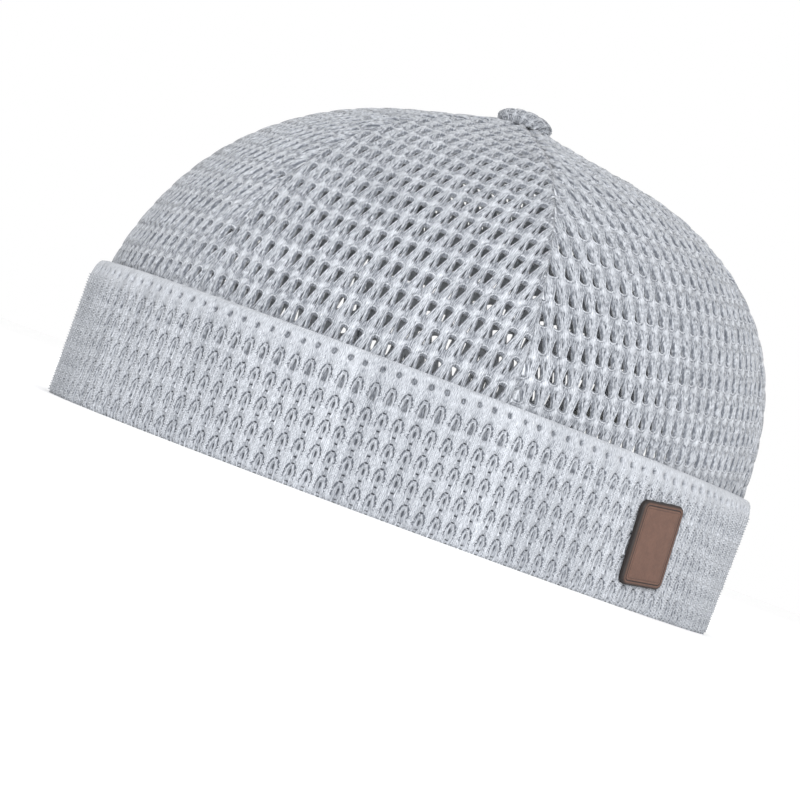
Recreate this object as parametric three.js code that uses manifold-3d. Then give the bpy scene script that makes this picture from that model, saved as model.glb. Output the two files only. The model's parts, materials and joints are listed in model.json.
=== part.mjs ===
import * as THREE from 'three';
import Module from 'manifold-3d';
import { mergeVertices } from 'three/addons/utils/BufferGeometryUtils.js';

// A brimless cap of open-mesh knit with a rolled cuff and an adjustable back strap.
// Millimetres, +Z up. The front faces -Y, and +X is the wearer's left.
// The origin lies under the middle of the whole cap, on the surface that the cap rests on.
// An angle runs round the oval rim from the front, towards the wearer's left, in degrees.
// An inset is the distance of a surface inside the outside of the cuff.

const wasm = await Module();
wasm.setup();

// Rim
const rimHalfWidth = 91;
const rimHalfDepth = 99.6;
const rimMiddle = { x: -1.04, y: 1.7 };

// Gaps between neighbouring solids, and some more where their facets differ
const clearance = 0.3;
const facetRoom = 0.1;

// Cuff
const cuffHeight = 38;
const cuffWall = 3;
const cuffFlare = 0.5;
const cuffEndAngle = 126;
const cuffHemWall = 2.6;
const cuffCorner = 1.2;
const cuffHemSlope = { rise: 0.3, height: 1 };
const cuffSteps = 54;

// Crown
const crownWall = 1.5;
const crownOuter = cuffWall + clearance + facetRoom;
const crownInner = crownOuter + crownWall;
const crownBottom = cuffHemWall + clearance;
const crownShoulder = { front: 26.5, back: 38.5 };
const crownRoundness = { front: 2.02, back: 2.68 };
const domeTop = 109.5;
const peakHeight = 4.2;
const peakSpread = 0.33;
const crownHoleRadius = 4;
const panelFlatness = 0.012;
const panelFlatRise = 25;
const panelColumns = 8;
const domeRows = 8;
const peakRows = 4;

// Arched opening at the back
const archHalfWidth = 45.5;
const archHeight = 49;
const archSegments = 20;

// Binding folded round the edge of the arch
const bindingWall = 0.7;
const bindingLeg = 4.2;

// Sweatband
const sweatbandWall = 1.3;
const sweatbandBottom = 1.5;
const sweatbandTop = 31;
const sweatbandClearance = 0.8;
const sweatbandSetback = 2.4;
const sweatbandReach = 160;
const sweatbandSwell = { from: 127, to: 136 };
const sweatbandSteps = 64;

// Strap
const strapWall = 1.2;
const strapWidth = 19;
const strapBottom = 1.8;
const strapEndAngle = 137;
const strapDip = 2.35;
const strapSteps = 22;

// Slide buckle
const buckleAngle = 170;
const buckleLength = 25;
const buckleHeight = 21.4;
const buckleThickness = 3.8;
const bucklePlateLength = 12.6;
const buckleSlotLength = 2.1;
const bucklePlateWall = 2.2;
const bucklePlateOffset = 0.45;
const buckleCorner = 1.6;
const buckleBevel = 0.35;
const buckleDimpleRadius = 1.3;
const buckleDimpleDepth = 0.6;

// Label
const labelAngle = 89;
const labelWidth = 16.4;
const labelHeight = 22.4;
const labelWall = 1.8;
const labelCorner = 2;
const labelBevel = 0.25;
const labelMiddle = 17.7;
const labelTilt = 6;

// Button
const buttonRadius = 7.6;
const buttonEdge = 1.6;
const buttonHeight = 4.7;
const buttonShankRadius = 3.2;
const buttonShankLength = 5;
const buttonSides = 20;

// The open mesh of the knit. The cloth has about fifteen hundred openings, of which the solid
// crown is cut through at one in every sixteen: one of four in a row, in one of four rows.
// An opening is a drop, and its first row lies a little above the cuff.
const meshPitch = { alongRow: 4.2, betweenRows: 6.9 };
const meshStride = 4;
const meshOpening = { width: 2, height: 3.8 };
const meshFirstRow = 9.6;
const meshEdgeMargin = 4;
const meshTopWidth = 0.2;

const finishes = {
  knit: { color: 0xc3c8d0, roughness: 0.9 },
  band: { color: 0x94968f, roughness: 0.95 },
  webbing: { color: 0x24272a, roughness: 0.85 },
  plastic: { color: 0x1d2022, roughness: 0.45 },
  leather: { color: 0x7a5648, roughness: 0.7 },
};

const toRadians = THREE.MathUtils.degToRad;

function ovalPoint(angle, inset, z) {
  const x = (rimHalfWidth - inset) * Math.sin(toRadians(angle));
  const y = -(rimHalfDepth - inset) * Math.cos(toRadians(angle));
  return new THREE.Vector3(x, y, z);
}

// The frame on the oval at an angle: along it, straight up, and outwards from it.
function ovalFrame(angle, inset, z) {
  const near = 0.5;
  const along = ovalPoint(angle + near, inset, 0).sub(ovalPoint(angle - near, inset, 0));
  along.normalize();
  const up = new THREE.Vector3(0, 0, 1);
  const outward = along.clone().cross(up);
  const frame = new THREE.Matrix4().makeBasis(along, up, outward);
  return frame.setPosition(ovalPoint(angle, inset, z));
}

function spread(from, to, steps) {
  return Array.from({ length: steps + 1 }, (_, i) => from + ((to - from) * i) / steps);
}

function signedVolume(points, triangles) {
  let volume = 0;
  for (let i = 0; i < triangles.length; i += 3) {
    const [a, b, c] = [0, 1, 2].map((k) => points[triangles[i + k]]);
    volume += a.dot(b.clone().cross(c)) / 6;
  }
  return volume;
}

function bodyFrom(points, triangles) {
  if (signedVolume(points, triangles) < 0) triangles.reverse();
  const geometry = new THREE.BufferGeometry().setFromPoints(points);
  geometry.setIndex(triangles);
  return geometry;
}

// A closed body through a row of sections. A section has an outer and an inner edge with
// equally many points, and the two are joined at both ends.
function loft(sections) {
  const edgeCount = sections[0].outer.length;
  const ringCount = 2 * edgeCount;
  const points = sections.flatMap(({ outer, inner }) => [...outer, ...[...inner].reverse()]);
  const triangles = [];
  const quad = (a, b, c, d) => triangles.push(a, b, c, a, c, d);
  for (let s = 0; s + 1 < sections.length; s++) {
    for (let k = 0; k < ringCount; k++) {
      const next = (k + 1) % ringCount;
      const here = s * ringCount;
      const there = here + ringCount;
      quad(here + k, here + next, there + next, there + k);
    }
  }
  const last = (sections.length - 1) * ringCount;
  for (let i = 0; i + 1 < edgeCount; i++) {
    const across = ringCount - 1 - i;
    quad(across, across - 1, i + 1, i);
    quad(last + i, last + i + 1, last + across - 1, last + across);
  }
  return bodyFrom(points, triangles);
}

function toSolid(geometry) {
  const bare = geometry.clone();
  bare.deleteAttribute('normal');
  bare.deleteAttribute('uv');
  const merged = mergeVertices(bare, 1e-4);
  const mesh = new wasm.Mesh({
    numProp: 3,
    vertProperties: merged.attributes.position.array,
    triVerts: new Uint32Array(merged.index.array),
  });
  return new wasm.Manifold(mesh);
}

function toGeometry(solid) {
  const { vertProperties, triVerts } = solid.getMesh();
  const geometry = new THREE.BufferGeometry();
  geometry.setAttribute('position', new THREE.BufferAttribute(vertProperties, 3));
  geometry.setIndex(new THREE.BufferAttribute(triVerts, 1));
  return geometry;
}

// A block of the arch's own outline, through the back wall of the cap. A margin widens it.
function archBlock(margin) {
  const halfWidth = archHalfWidth + margin;
  const height = archHeight + margin;
  const below = -10;
  const outline = new THREE.Shape();
  outline.moveTo(halfWidth, below);
  outline.absellipse(0, 0, halfWidth, height, 0, Math.PI, false);
  outline.lineTo(-halfWidth, below);
  outline.closePath();
  const wall = { nearest: 40, furthest: 120 };
  const block = new THREE.ExtrudeGeometry(outline, {
    depth: wall.furthest - wall.nearest,
    curveSegments: archSegments,
    bevelEnabled: false,
  });
  block.rotateX(Math.PI / 2);
  block.translate(0, wall.furthest, 0);
  return toSolid(block);
}

// Crown. Its height and width follow one rounded curve from the wall to the top, fuller at the
// back than at the front, with a low peak under the button. Between two seams a panel lies a
// little inside the round, so that the seams show as ridges.
function crownCurve(angle) {
  const backness = (1 - Math.cos(toRadians(angle))) / 2;
  return {
    shoulder: THREE.MathUtils.lerp(crownShoulder.front, crownShoulder.back, backness),
    power: 2 / THREE.MathUtils.lerp(crownRoundness.front, crownRoundness.back, backness),
  };
}

function crownHeight(angle, width, inset) {
  const { shoulder, power } = crownCurve(angle);
  const top = domeTop - inset + crownOuter;
  const peak = peakHeight * Math.max(0, 1 - width / peakSpread) ** 2;
  return shoulder + (top - shoulder) * (1 - width ** (2 / power)) ** (power / 2) + peak;
}

// A width is a share of the rim's: one at the wall, and none in the middle of the top.
function crownPoint(angle, width, inset, alongPanel) {
  const z = crownHeight(angle, width, inset);
  const rise = THREE.MathUtils.smoothstep(z, cuffHeight, cuffHeight + panelFlatRise);
  const flat = 1 - panelFlatness * rise * Math.sin(Math.PI * alongPanel) ** 2;
  const point = ovalPoint(angle, inset, z);
  point.x *= width * flat;
  point.y *= width * flat;
  return point;
}

// The widths of the crown's rows of facets, from the wall to the small hole under the button.
function crownWidths(angle) {
  const { power } = crownCurve(angle);
  const peakTurn = THREE.MathUtils.radToDeg(Math.acos(peakSpread ** (1 / power)));
  const dome = spread(0, peakTurn, domeRows).map((turn) => Math.cos(toRadians(turn)) ** power);
  const peak = spread(peakSpread, crownHoleRadius / (rimHalfWidth - crownOuter), peakRows);
  return [...dome, ...peak.slice(1)];
}

// The angle that keeps a panel's edge clear of the seam, wider towards the small top.
function seamAngle(width) {
  return THREE.MathUtils.radToDeg(clearance / 2 / (rimHalfWidth * width));
}

// The edge of a panel's section, from the rim up to the button.
function panelEdge(panel, alongPanel, inset, { seamed = true, bottom = crownBottom } = {}) {
  const middleAngle = THREE.MathUtils.lerp(panel.from, panel.to, alongPanel);
  const angleAt = (width) => {
    const edge = seamed ? seamAngle(width) : 0;
    return THREE.MathUtils.lerp(panel.from + edge, panel.to - edge, alongPanel);
  };
  const { shoulder } = crownCurve(middleAngle);
  const wallHeights = [bottom, (crownBottom + shoulder) / 2];
  const wall = wallHeights.map((z) => ovalPoint(angleAt(1), inset, z));
  const widths = crownWidths(middleAngle);
  const dome = widths.map((width) => crownPoint(angleAt(width), width, inset, alongPanel));
  return [...wall, ...dome];
}

// A wall of one panel, or of neighbouring panels without the seams between them.
function crownWallOf(panels, outerInset, innerInset, options) {
  const sections = panels.flatMap((panel, i) => {
    const columns = spread(0, 1, panelColumns).slice(i === 0 ? 0 : 1);
    return columns.map((alongPanel) => ({
      outer: panelEdge(panel, alongPanel, outerInset, options),
      inner: panelEdge(panel, alongPanel, innerInset, options),
    }));
  });
  return toSolid(loft(sections));
}

// One opening of the mesh, cut through along the wall's normal. A drop's point is down, or up
// where the cloth is turned round.
function meshOpeningBlock(panel, alongPanel, width) {
  const small = 0.01;
  const angle = THREE.MathUtils.lerp(panel.from, panel.to, alongPanel);
  const aside = THREE.MathUtils.lerp(panel.from, panel.to, alongPanel + small);
  const centre = crownPoint(angle, width, crownOuter, alongPanel);
  const along = crownPoint(aside, width, crownOuter, alongPanel + small).sub(centre).normalize();
  const above = crownPoint(angle, width - small, crownOuter, alongPanel).sub(centre).normalize();
  const outward = along.clone().cross(above).normalize();
  const top = panel.turned ? -1 : 1;
  const drop = new THREE.Shape([
    new THREE.Vector2(0, (-top * meshOpening.height) / 2),
    new THREE.Vector2(meshOpening.width / 2, (top * meshOpening.height) / 4),
    new THREE.Vector2(0, (top * meshOpening.height) / 2),
    new THREE.Vector2(-meshOpening.width / 2, (top * meshOpening.height) / 4),
  ]);
  const depth = 4 * crownWall;
  const block = new THREE.ExtrudeGeometry(drop, { depth, bevelEnabled: false });
  block.translate(0, 0, -depth / 2);
  block.applyMatrix4(new THREE.Matrix4().makeBasis(along, above, outward).setPosition(centre));
  return toSolid(block);
}

// How far the cloth has run up a panel's middle from the cuff's upper edge, at each width.
function clothRuns(panel) {
  const middle = (panel.from + panel.to) / 2;
  const runs = [];
  let run = 0;
  let below = crownPoint(middle, 1, crownOuter, 0.5);
  for (const width of spread(1, meshTopWidth, 400)) {
    const here = crownPoint(middle, width, crownOuter, 0.5);
    if (here.z > cuffHeight) run += here.distanceTo(below);
    below = here;
    runs.push({ width, run });
  }
  return runs;
}

function rowLength(panel, width) {
  const points = spread(0, 1, panelColumns).map((alongPanel) => {
    const angle = THREE.MathUtils.lerp(panel.from, panel.to, alongPanel);
    return crownPoint(angle, width, crownOuter, alongPanel);
  });
  return points.slice(1).reduce((length, point, i) => length + point.distanceTo(points[i]), 0);
}

// The rows lie flat on the cloth, at the panel's own tilt to the cuff.
function meshOpenings(panel) {
  const runs = clothRuns(panel);
  const tilt = toRadians(panel.clothTilt);
  const reach = 5;
  const openings = [];
  for (let row = 0; row <= 2 * reach; row++) {
    for (let column = -reach; column <= reach; column++) {
      const shift = row % 2 === 0 ? 0 : 0.5;
      const x = (column + shift) * meshStride * meshPitch.alongRow;
      const y = (row - 1) * meshStride * meshPitch.betweenRows;
      const aside = x * Math.cos(tilt) - y * Math.sin(tilt);
      const run = meshFirstRow + x * Math.sin(tilt) + y * Math.cos(tilt);
      const reached = runs.find((step) => step.run >= run);
      if (run < meshOpening.height || !reached) continue;
      const length = rowLength(panel, reached.width);
      if (Math.abs(aside) > length / 2 - meshEdgeMargin) continue;
      openings.push(meshOpeningBlock(panel, 0.5 + aside / length, reached.width));
    }
  }
  return openings;
}

function crownPanel(panel) {
  let solid = crownWallOf([panel], crownOuter, crownInner);
  if (panel.arched) solid = solid.subtract(archBlock(0));
  const nearArch = archBlock(meshEdgeMargin);
  for (const opening of meshOpenings(panel)) {
    const clearOfArch = !panel.arched || opening.intersect(nearArch).isEmpty();
    if (clearOfArch) solid = solid.subtract(opening);
  }
  return toGeometry(solid);
}

// Cuff: up the outside from the hem and over the fold, and the same way up the inside. The
// hem turns in under the crown's lower edge. A point is an inset and a height.
function cuff() {
  const fold = cuffWall / 2;
  const outside = [
    [crownInner, 0],
    [cuffCorner, 0],
    [cuffCorner / 4, cuffCorner / 4],
    [0, cuffCorner],
    [0, cuffHeight / 2],
    [0, cuffHeight - fold],
  ];
  const inside = [
    [crownInner, cuffHemWall],
    [crownOuter + facetRoom, cuffHemWall],
    [cuffWall + facetRoom, cuffHemWall + cuffHemSlope.rise],
    [cuffWall, cuffHemWall + cuffHemSlope.height],
    [cuffWall, cuffHeight / 2],
    [cuffWall, cuffHeight - fold],
  ];
  for (const turn of [45, 75]) {
    const inset = fold * (1 - Math.cos(toRadians(turn)));
    const height = cuffHeight - fold * (1 - Math.sin(toRadians(turn)));
    outside.push([inset, height]);
    inside.push([cuffWall - inset, height]);
  }
  const flareAt = (z) => (cuffFlare * z) / cuffHeight;
  const placed = (angle) => ([inset, z]) => ovalPoint(angle, inset - flareAt(z), z);
  const sections = spread(-cuffEndAngle, cuffEndAngle, cuffSteps).map((angle) => ({
    outer: outside.map(placed(angle)),
    inner: inside.map(placed(angle)),
  }));
  return loft(sections);
}

const bindingInner = crownInner + clearance + bindingWall;
const strapOuter = bindingInner + clearance + facetRoom;
const strapInner = strapOuter + strapWall;

// Sweatband: it lies against the crown, and swells inwards over the ends of the strap.
function sweatband() {
  const resting = crownInner + sweatbandClearance;
  const overStrap = strapInner + clearance;
  const insetAt = (angle) => {
    const { from, to } = sweatbandSwell;
    const swell = THREE.MathUtils.smoothstep(Math.abs(angle), from, to);
    return THREE.MathUtils.lerp(resting, overStrap, swell);
  };
  const heights = [sweatbandBottom, (sweatbandBottom + sweatbandTop) / 2, sweatbandTop];
  const sections = spread(-sweatbandReach, sweatbandReach, sweatbandSteps).map((angle) => ({
    outer: heights.map((z) => ovalPoint(angle, insetAt(angle), z)),
    inner: heights.map((z) => ovalPoint(angle, insetAt(angle) + sweatbandWall, z)),
  }));
  return toGeometry(toSolid(loft(sections)).subtract(archBlock(sweatbandSetback)));
}

// Binding: a tape folded round the arch's edge, with a leg inside and a leg outside the crown.
// It is what a thicker crown has round the arch, less the room of the crown itself.
function archBinding(archedPanels) {
  const backWall = (reach, bottom) => {
    const options = { seamed: false, bottom };
    return crownWallOf(archedPanels, crownOuter - reach, crownInner + reach, options);
  };
  const folded = backWall(clearance + bindingWall, crownBottom);
  const crownRoom = backWall(clearance, 0).subtract(archBlock(-clearance));
  const aroundArch = archBlock(bindingLeg).subtract(archBlock(-clearance - bindingWall));
  return toGeometry(folded.intersect(aroundArch).subtract(crownRoom));
}

// Strap: it follows the oval, and dips out through the buckle's slots behind the plate.
function backStrap() {
  const ramp = 0.7 * buckleSlotLength;
  const slotMiddle = (bucklePlateLength + buckleSlotLength) / 2;
  const oneDegree = ovalPoint(buckleAngle, strapOuter, 0).distanceTo(
    ovalPoint(buckleAngle + 1, strapOuter, 0),
  );
  const dipAt = (angle) => {
    const along = Math.abs(angle - buckleAngle) * oneDegree;
    const past = THREE.MathUtils.smoothstep(along, slotMiddle - ramp, slotMiddle + ramp);
    return strapDip * (1 - past);
  };
  const bend = (slotMiddle + buckleSlotLength) / oneDegree;
  const angles = [
    ...spread(strapEndAngle, buckleAngle - bend, strapSteps / 2).slice(0, -1),
    ...spread(buckleAngle - bend, buckleAngle + bend, strapSteps),
    ...spread(buckleAngle + bend, 360 - strapEndAngle, strapSteps).slice(1),
  ];
  const heights = [strapBottom, strapBottom + strapWidth];
  const sections = angles.map((angle) => ({
    outer: heights.map((z) => ovalPoint(angle, strapOuter - dipAt(angle), z)),
    inner: heights.map((z) => ovalPoint(angle, strapInner - dipAt(angle), z)),
  }));
  return loft(sections);
}

function roundedRectangle(width, height, radius) {
  const [w, h] = [width / 2, height / 2];
  const outline = new THREE.Shape();
  outline.moveTo(-w + radius, -h);
  outline.lineTo(w - radius, -h);
  outline.absarc(w - radius, -h + radius, radius, -Math.PI / 2, 0, false);
  outline.absarc(w - radius, h - radius, radius, 0, Math.PI / 2, false);
  outline.absarc(-w + radius, h - radius, radius, Math.PI / 2, Math.PI, false);
  outline.absarc(-w + radius, -h + radius, radius, Math.PI, 1.5 * Math.PI, false);
  outline.closePath();
  return outline;
}

function boxBetween(low, high) {
  const size = high.clone().sub(low);
  const box = new THREE.BoxGeometry(size.x, size.y, size.z);
  const middle = low.clone().add(high).multiplyScalar(0.5);
  box.translate(middle.x, middle.y, middle.z);
  return toSolid(box);
}

function bevelledPlate(width, height, thickness, corner, bevel) {
  const outline = roundedRectangle(width - 2 * bevel, height - 2 * bevel, corner);
  const plate = new THREE.ExtrudeGeometry(outline, {
    depth: thickness - 2 * bevel,
    bevelThickness: bevel,
    bevelSize: bevel,
    bevelSegments: 1,
    curveSegments: 3,
  });
  return plate.translate(0, 0, bevel);
}

// Buckle: a moulded frame with a plate in its middle and a slot on each side of it. Local axes
// run along the strap, up, and outwards, with the strap's outer face at zero.
function strapBuckle() {
  const innerFace = bucklePlateOffset - bucklePlateWall;
  const block = bevelledPlate(
    buckleLength,
    buckleHeight,
    buckleThickness,
    buckleCorner,
    buckleBevel,
  );
  block.translate(0, 0, innerFace);
  const strapRoom = strapWidth / 2 + clearance;
  const slotStart = bucklePlateLength / 2;
  const slotEnd = slotStart + buckleSlotLength;
  const beyond = 20;
  const bar = bucklePlateOffset;
  const roomBetween = (x, z) => boxBetween(
    new THREE.Vector3(Math.min(...x), -strapRoom, Math.min(...z)),
    new THREE.Vector3(Math.max(...x), strapRoom, Math.max(...z)),
  );
  const rooms = [roomBetween([-slotEnd, slotEnd], [bar, beyond])];
  for (const side of [-1, 1]) {
    rooms.push(roomBetween([side * slotStart, side * slotEnd], [-beyond, beyond]));
    rooms.push(roomBetween([side * slotStart, side * beyond], [-beyond, bar]));
  }
  const dimple = new THREE.CylinderGeometry(
    buckleDimpleRadius,
    buckleDimpleRadius,
    2 * buckleDimpleDepth,
    12,
  );
  dimple.rotateX(Math.PI / 2);
  dimple.translate(0, 0, innerFace);
  rooms.push(toSolid(dimple));
  return toGeometry(rooms.reduce((solid, room) => solid.subtract(room), toSolid(block)));
}

function sideLabel() {
  return bevelledPlate(labelWidth, labelHeight, labelWall, labelCorner, labelBevel);
}

// Button: a low dome over the seams' meeting point. Its underside follows the crown's peak,
// and a shank goes down through the crown. Heights are above the lower edge of the button.
function buttonSeat(radius) {
  const width = radius / (rimHalfWidth - crownOuter);
  return Math.max(...[0, 180].map((angle) => crownHeight(angle, width, crownOuter)));
}

function crownButton() {
  const edge = buttonSeat(buttonRadius);
  const underside = buttonSeat(buttonShankRadius) - edge;
  const profile = [
    new THREE.Vector2(0, underside - buttonShankLength),
    new THREE.Vector2(buttonShankRadius, underside - buttonShankLength),
    new THREE.Vector2(buttonShankRadius, underside),
    new THREE.Vector2(buttonRadius - buttonEdge / 4, 0),
    new THREE.Vector2(buttonRadius, buttonEdge),
    ...[20, 45, 70].map((turn) => new THREE.Vector2(
      buttonRadius * Math.cos(toRadians(turn)),
      buttonEdge + (buttonHeight - buttonEdge) * Math.sin(toRadians(turn)),
    )),
    new THREE.Vector2(0, buttonHeight),
  ];
  return new THREE.LatheGeometry(profile, buttonSides).rotateX(Math.PI / 2);
}

const cap = new THREE.Group();
const pieces = new THREE.Group();
pieces.position.set(rimMiddle.x, rimMiddle.y, 0);
cap.add(pieces);

function addPiece(name, geometry, finish) {
  const material = new THREE.MeshStandardMaterial({ ...finish, metalness: 0 });
  const mesh = new THREE.Mesh(geometry, material);
  mesh.name = name;
  pieces.add(mesh);
  return mesh;
}

// The six gores. The cloth of the side gores is turned round, point up, and a gore's rows may
// tilt to the cuff.
const panels = [
  { name: 'crown_panel_front_left', from: 0, to: 58, clothTilt: -4 },
  { name: 'crown_panel_side_left', from: 58, to: 120, clothTilt: 2, turned: true },
  { name: 'crown_panel_back_left', from: 120, to: 180, clothTilt: 0, arched: true },
  { name: 'crown_panel_back_right', from: 180, to: 240, clothTilt: 0, arched: true },
  { name: 'crown_panel_side_right', from: 240, to: 302, clothTilt: -2, turned: true },
  { name: 'crown_panel_front_right', from: 302, to: 360, clothTilt: 4 },
];
for (const panel of panels) {
  addPiece(panel.name, crownPanel(panel), finishes.knit);
}

const button = addPiece('crown_button', crownButton(), finishes.knit);
button.position.z = buttonSeat(buttonRadius) + clearance;

addPiece('cuff', cuff(), finishes.knit);
addPiece('sweatband', sweatband(), finishes.band);
addPiece('arch_binding', archBinding(panels.filter((panel) => panel.arched)), finishes.band);
addPiece('back_strap', backStrap(), finishes.webbing);

const buckle = addPiece('strap_buckle', strapBuckle(), finishes.plastic);
buckle.applyMatrix4(ovalFrame(buckleAngle, strapOuter, strapBottom + strapWidth / 2));

const label = addPiece('side_label', sideLabel(), finishes.leather);
const flareAtLabel = (cuffFlare * labelMiddle) / cuffHeight;
label.applyMatrix4(ovalFrame(labelAngle, -clearance - flareAtLabel, labelMiddle));
label.rotateX(Math.atan(cuffFlare / cuffHeight));
label.rotateZ(toRadians(labelTilt));

export default cap;
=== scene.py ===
# %% [markdown]
# # A brimless cap of open-mesh knit
#
# This script dresses a packed cap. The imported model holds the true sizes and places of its
# pieces, and every soft piece here is made again in its place, with the knit cut open, the
# stitches laid and the webbing ribbed. Lengths are in metres, +Z is up, the front of the cap
# faces -Y and +X is the wearer's left.

import json
import math

import bmesh
import bpy
import numpy as np
from mathutils import Matrix, Vector
from mathutils.geometry import delaunay_2d_cdt

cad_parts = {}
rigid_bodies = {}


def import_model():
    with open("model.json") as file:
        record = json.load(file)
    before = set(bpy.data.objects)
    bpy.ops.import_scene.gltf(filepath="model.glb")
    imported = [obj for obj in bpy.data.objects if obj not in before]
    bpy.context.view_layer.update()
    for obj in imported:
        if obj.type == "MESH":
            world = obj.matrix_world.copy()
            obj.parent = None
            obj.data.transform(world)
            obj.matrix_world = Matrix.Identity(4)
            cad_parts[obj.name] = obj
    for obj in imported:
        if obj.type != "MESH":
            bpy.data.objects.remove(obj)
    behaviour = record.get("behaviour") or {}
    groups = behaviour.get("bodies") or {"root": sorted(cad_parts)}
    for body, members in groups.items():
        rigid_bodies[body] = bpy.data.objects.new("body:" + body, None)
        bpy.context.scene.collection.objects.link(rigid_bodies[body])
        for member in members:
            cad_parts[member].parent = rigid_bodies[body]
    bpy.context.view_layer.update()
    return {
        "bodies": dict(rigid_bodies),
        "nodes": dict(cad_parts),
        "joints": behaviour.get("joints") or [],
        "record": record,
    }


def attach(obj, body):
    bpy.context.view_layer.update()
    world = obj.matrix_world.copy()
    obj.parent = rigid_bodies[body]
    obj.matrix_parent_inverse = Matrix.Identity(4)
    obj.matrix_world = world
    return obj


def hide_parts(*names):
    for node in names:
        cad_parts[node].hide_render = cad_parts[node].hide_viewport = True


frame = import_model()
MM = 0.001
print("packed pieces:", sorted(frame["nodes"]))

# %% [markdown]
# ## The form of the cap
#
# A hat block is an oval. A place on it is given as a hatter would: an angle round the rim, an
# inset from the outside of the cuff, and a height. The crown above is one rounded curve from
# the wall to the top, fuller at the back than at the front, so that the cap keeps one form in
# every piece that lies on it.

# %% The oval and the crown's curve
RIM_HALF_WIDTH = 91 * MM
RIM_HALF_DEPTH = 99.6 * MM
RIM_MIDDLE = (-1.04 * MM, 1.7 * MM)
CUFF_HEIGHT = 38 * MM
CUFF_WALL = 3 * MM
CUFF_FLARE = 0.5 * MM
CUFF_END = 126
CROWN_OUTER = 3.4 * MM
CROWN_BOTTOM = 2.9 * MM
SHOULDER = (26.5 * MM, 38.5 * MM)
ROUNDNESS = (2.02, 2.68)
DOME_TOP = 109.5 * MM
PEAK_HEIGHT = 4.2 * MM
PEAK_SPREAD = 0.33
PANEL_FLATNESS = 0.012
PANEL_FLAT_RISE = 25 * MM


def smoothstep(value, low, high):
    share = np.clip((value - low) / (high - low), 0, 1)
    return share * share * (3 - 2 * share)


def oval(angle, inset, z):
    turn = np.radians(angle)
    x = RIM_MIDDLE[0] + (RIM_HALF_WIDTH - inset) * np.sin(turn)
    y = RIM_MIDDLE[1] - (RIM_HALF_DEPTH - inset) * np.cos(turn)
    return np.stack(np.broadcast_arrays(x, y, z), axis=-1)


def crown_curve(angle):
    backness = (1 - np.cos(np.radians(angle))) / 2
    shoulder = SHOULDER[0] + (SHOULDER[1] - SHOULDER[0]) * backness
    return shoulder, ROUNDNESS[0] + (ROUNDNESS[1] - ROUNDNESS[0]) * backness


def crown_height(angle, width, inset):
    shoulder, roundness = crown_curve(angle)
    top = DOME_TOP - inset + CROWN_OUTER
    peak = PEAK_HEIGHT * np.clip(1 - width / PEAK_SPREAD, 0, None) ** 2
    return shoulder + (top - shoulder) * (1 - width**roundness) ** (1 / roundness) + peak


def crown_point(angle, width, inset, along_panel):
    z = crown_height(angle, width, inset)
    rise = smoothstep(z, CUFF_HEIGHT, CUFF_HEIGHT + PANEL_FLAT_RISE)
    flat = 1 - PANEL_FLATNESS * rise * np.sin(np.pi * along_panel) ** 2
    point = oval(angle, inset, z)
    for axis in (0, 1):
        point[..., axis] = RIM_MIDDLE[axis] + (point[..., axis] - RIM_MIDDLE[axis]) * width * flat
    return point


def run_along(points):
    """The length of a line of points, from its first one to each of them."""
    return np.concatenate([[0], np.cumsum(np.linalg.norm(np.diff(points, axis=0), axis=1))])


print("top of the crown:", float(crown_height(0, 0.05, CROWN_OUTER)))

# %% [markdown]
# ## Meshes from arrays
#
# The knit has hundreds of thousands of small faces, so its pieces are made as arrays of points
# and triangles and handed to Blender once. Points that fall on the same place are made one,
# which also closes up what was pressed flat against a seam. Two values ride on each point for
# the materials: its place in the knit, counted in stitches, and a share from 0 to 1. The share
# tells how open to the light the yarn lies, or how burnt the leather is.

# %% A mesh from arrays
MERGE_STEP = 2e-6


def make_piece(name, points, triangles, place=None, share=None, share_name="open_to_light"):
    keys = np.round(points / MERGE_STEP).astype(np.int64)
    _, first, merged = np.unique(keys, axis=0, return_index=True, return_inverse=True)
    merged = merged.reshape(-1)
    triangles = merged[triangles]
    a, b, c = triangles.T
    triangles = triangles[(a != b) & (b != c) & (c != a)]
    mesh = bpy.data.meshes.new(name)
    mesh.from_pydata(points[first].tolist(), [], triangles.tolist())
    mesh.polygons.foreach_set("use_smooth", np.ones(len(triangles), bool))
    if place is not None:
        layer = mesh.attributes.new("knit_place", "FLOAT_VECTOR", "POINT")
        flat = np.column_stack([place[first], np.zeros(len(first))])
        layer.data.foreach_set("vector", flat.astype(np.float32).ravel())
    if share is not None:
        layer = mesh.attributes.new(share_name, "FLOAT", "POINT")
        layer.data.foreach_set("value", share[first].astype(np.float32))
    mesh.update()
    piece = bpy.data.objects.new(name, mesh)
    bpy.context.scene.collection.objects.link(piece)
    print(f"{name}: {len(triangles)} triangles")
    return piece


def grid_triangles(rows, columns, closed=False):
    """Triangles of a grid of points, stored row by row, facing out when rows go up and
    columns go to the right. A closed grid joins its last column to its first."""
    across = columns if closed else columns - 1
    row, column = np.meshgrid(np.arange(rows - 1), np.arange(across), indexing="ij")
    here = (row * columns + column).ravel()
    right = (row * columns + (column + 1) % columns).ravel()
    quads = np.stack([here, right, right + columns, here + columns], axis=-1)
    return np.concatenate([quads[:, [0, 1, 2]], quads[:, [0, 2, 3]]])


# %% [markdown]
# ## One stitch of the open mesh
#
# Seen close, the crown's knit is a field of drops: smooth bundles of yarn part round a drop
# with its point down, and a thin slit lies beside it. One stitch of that field is drawn flat,
# as a tile whose edges fit its neighbours, and cut into triangles round its openings. Relief
# comes from a rule of distance to the opening, so that bundles swell and lips turn down.

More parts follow.
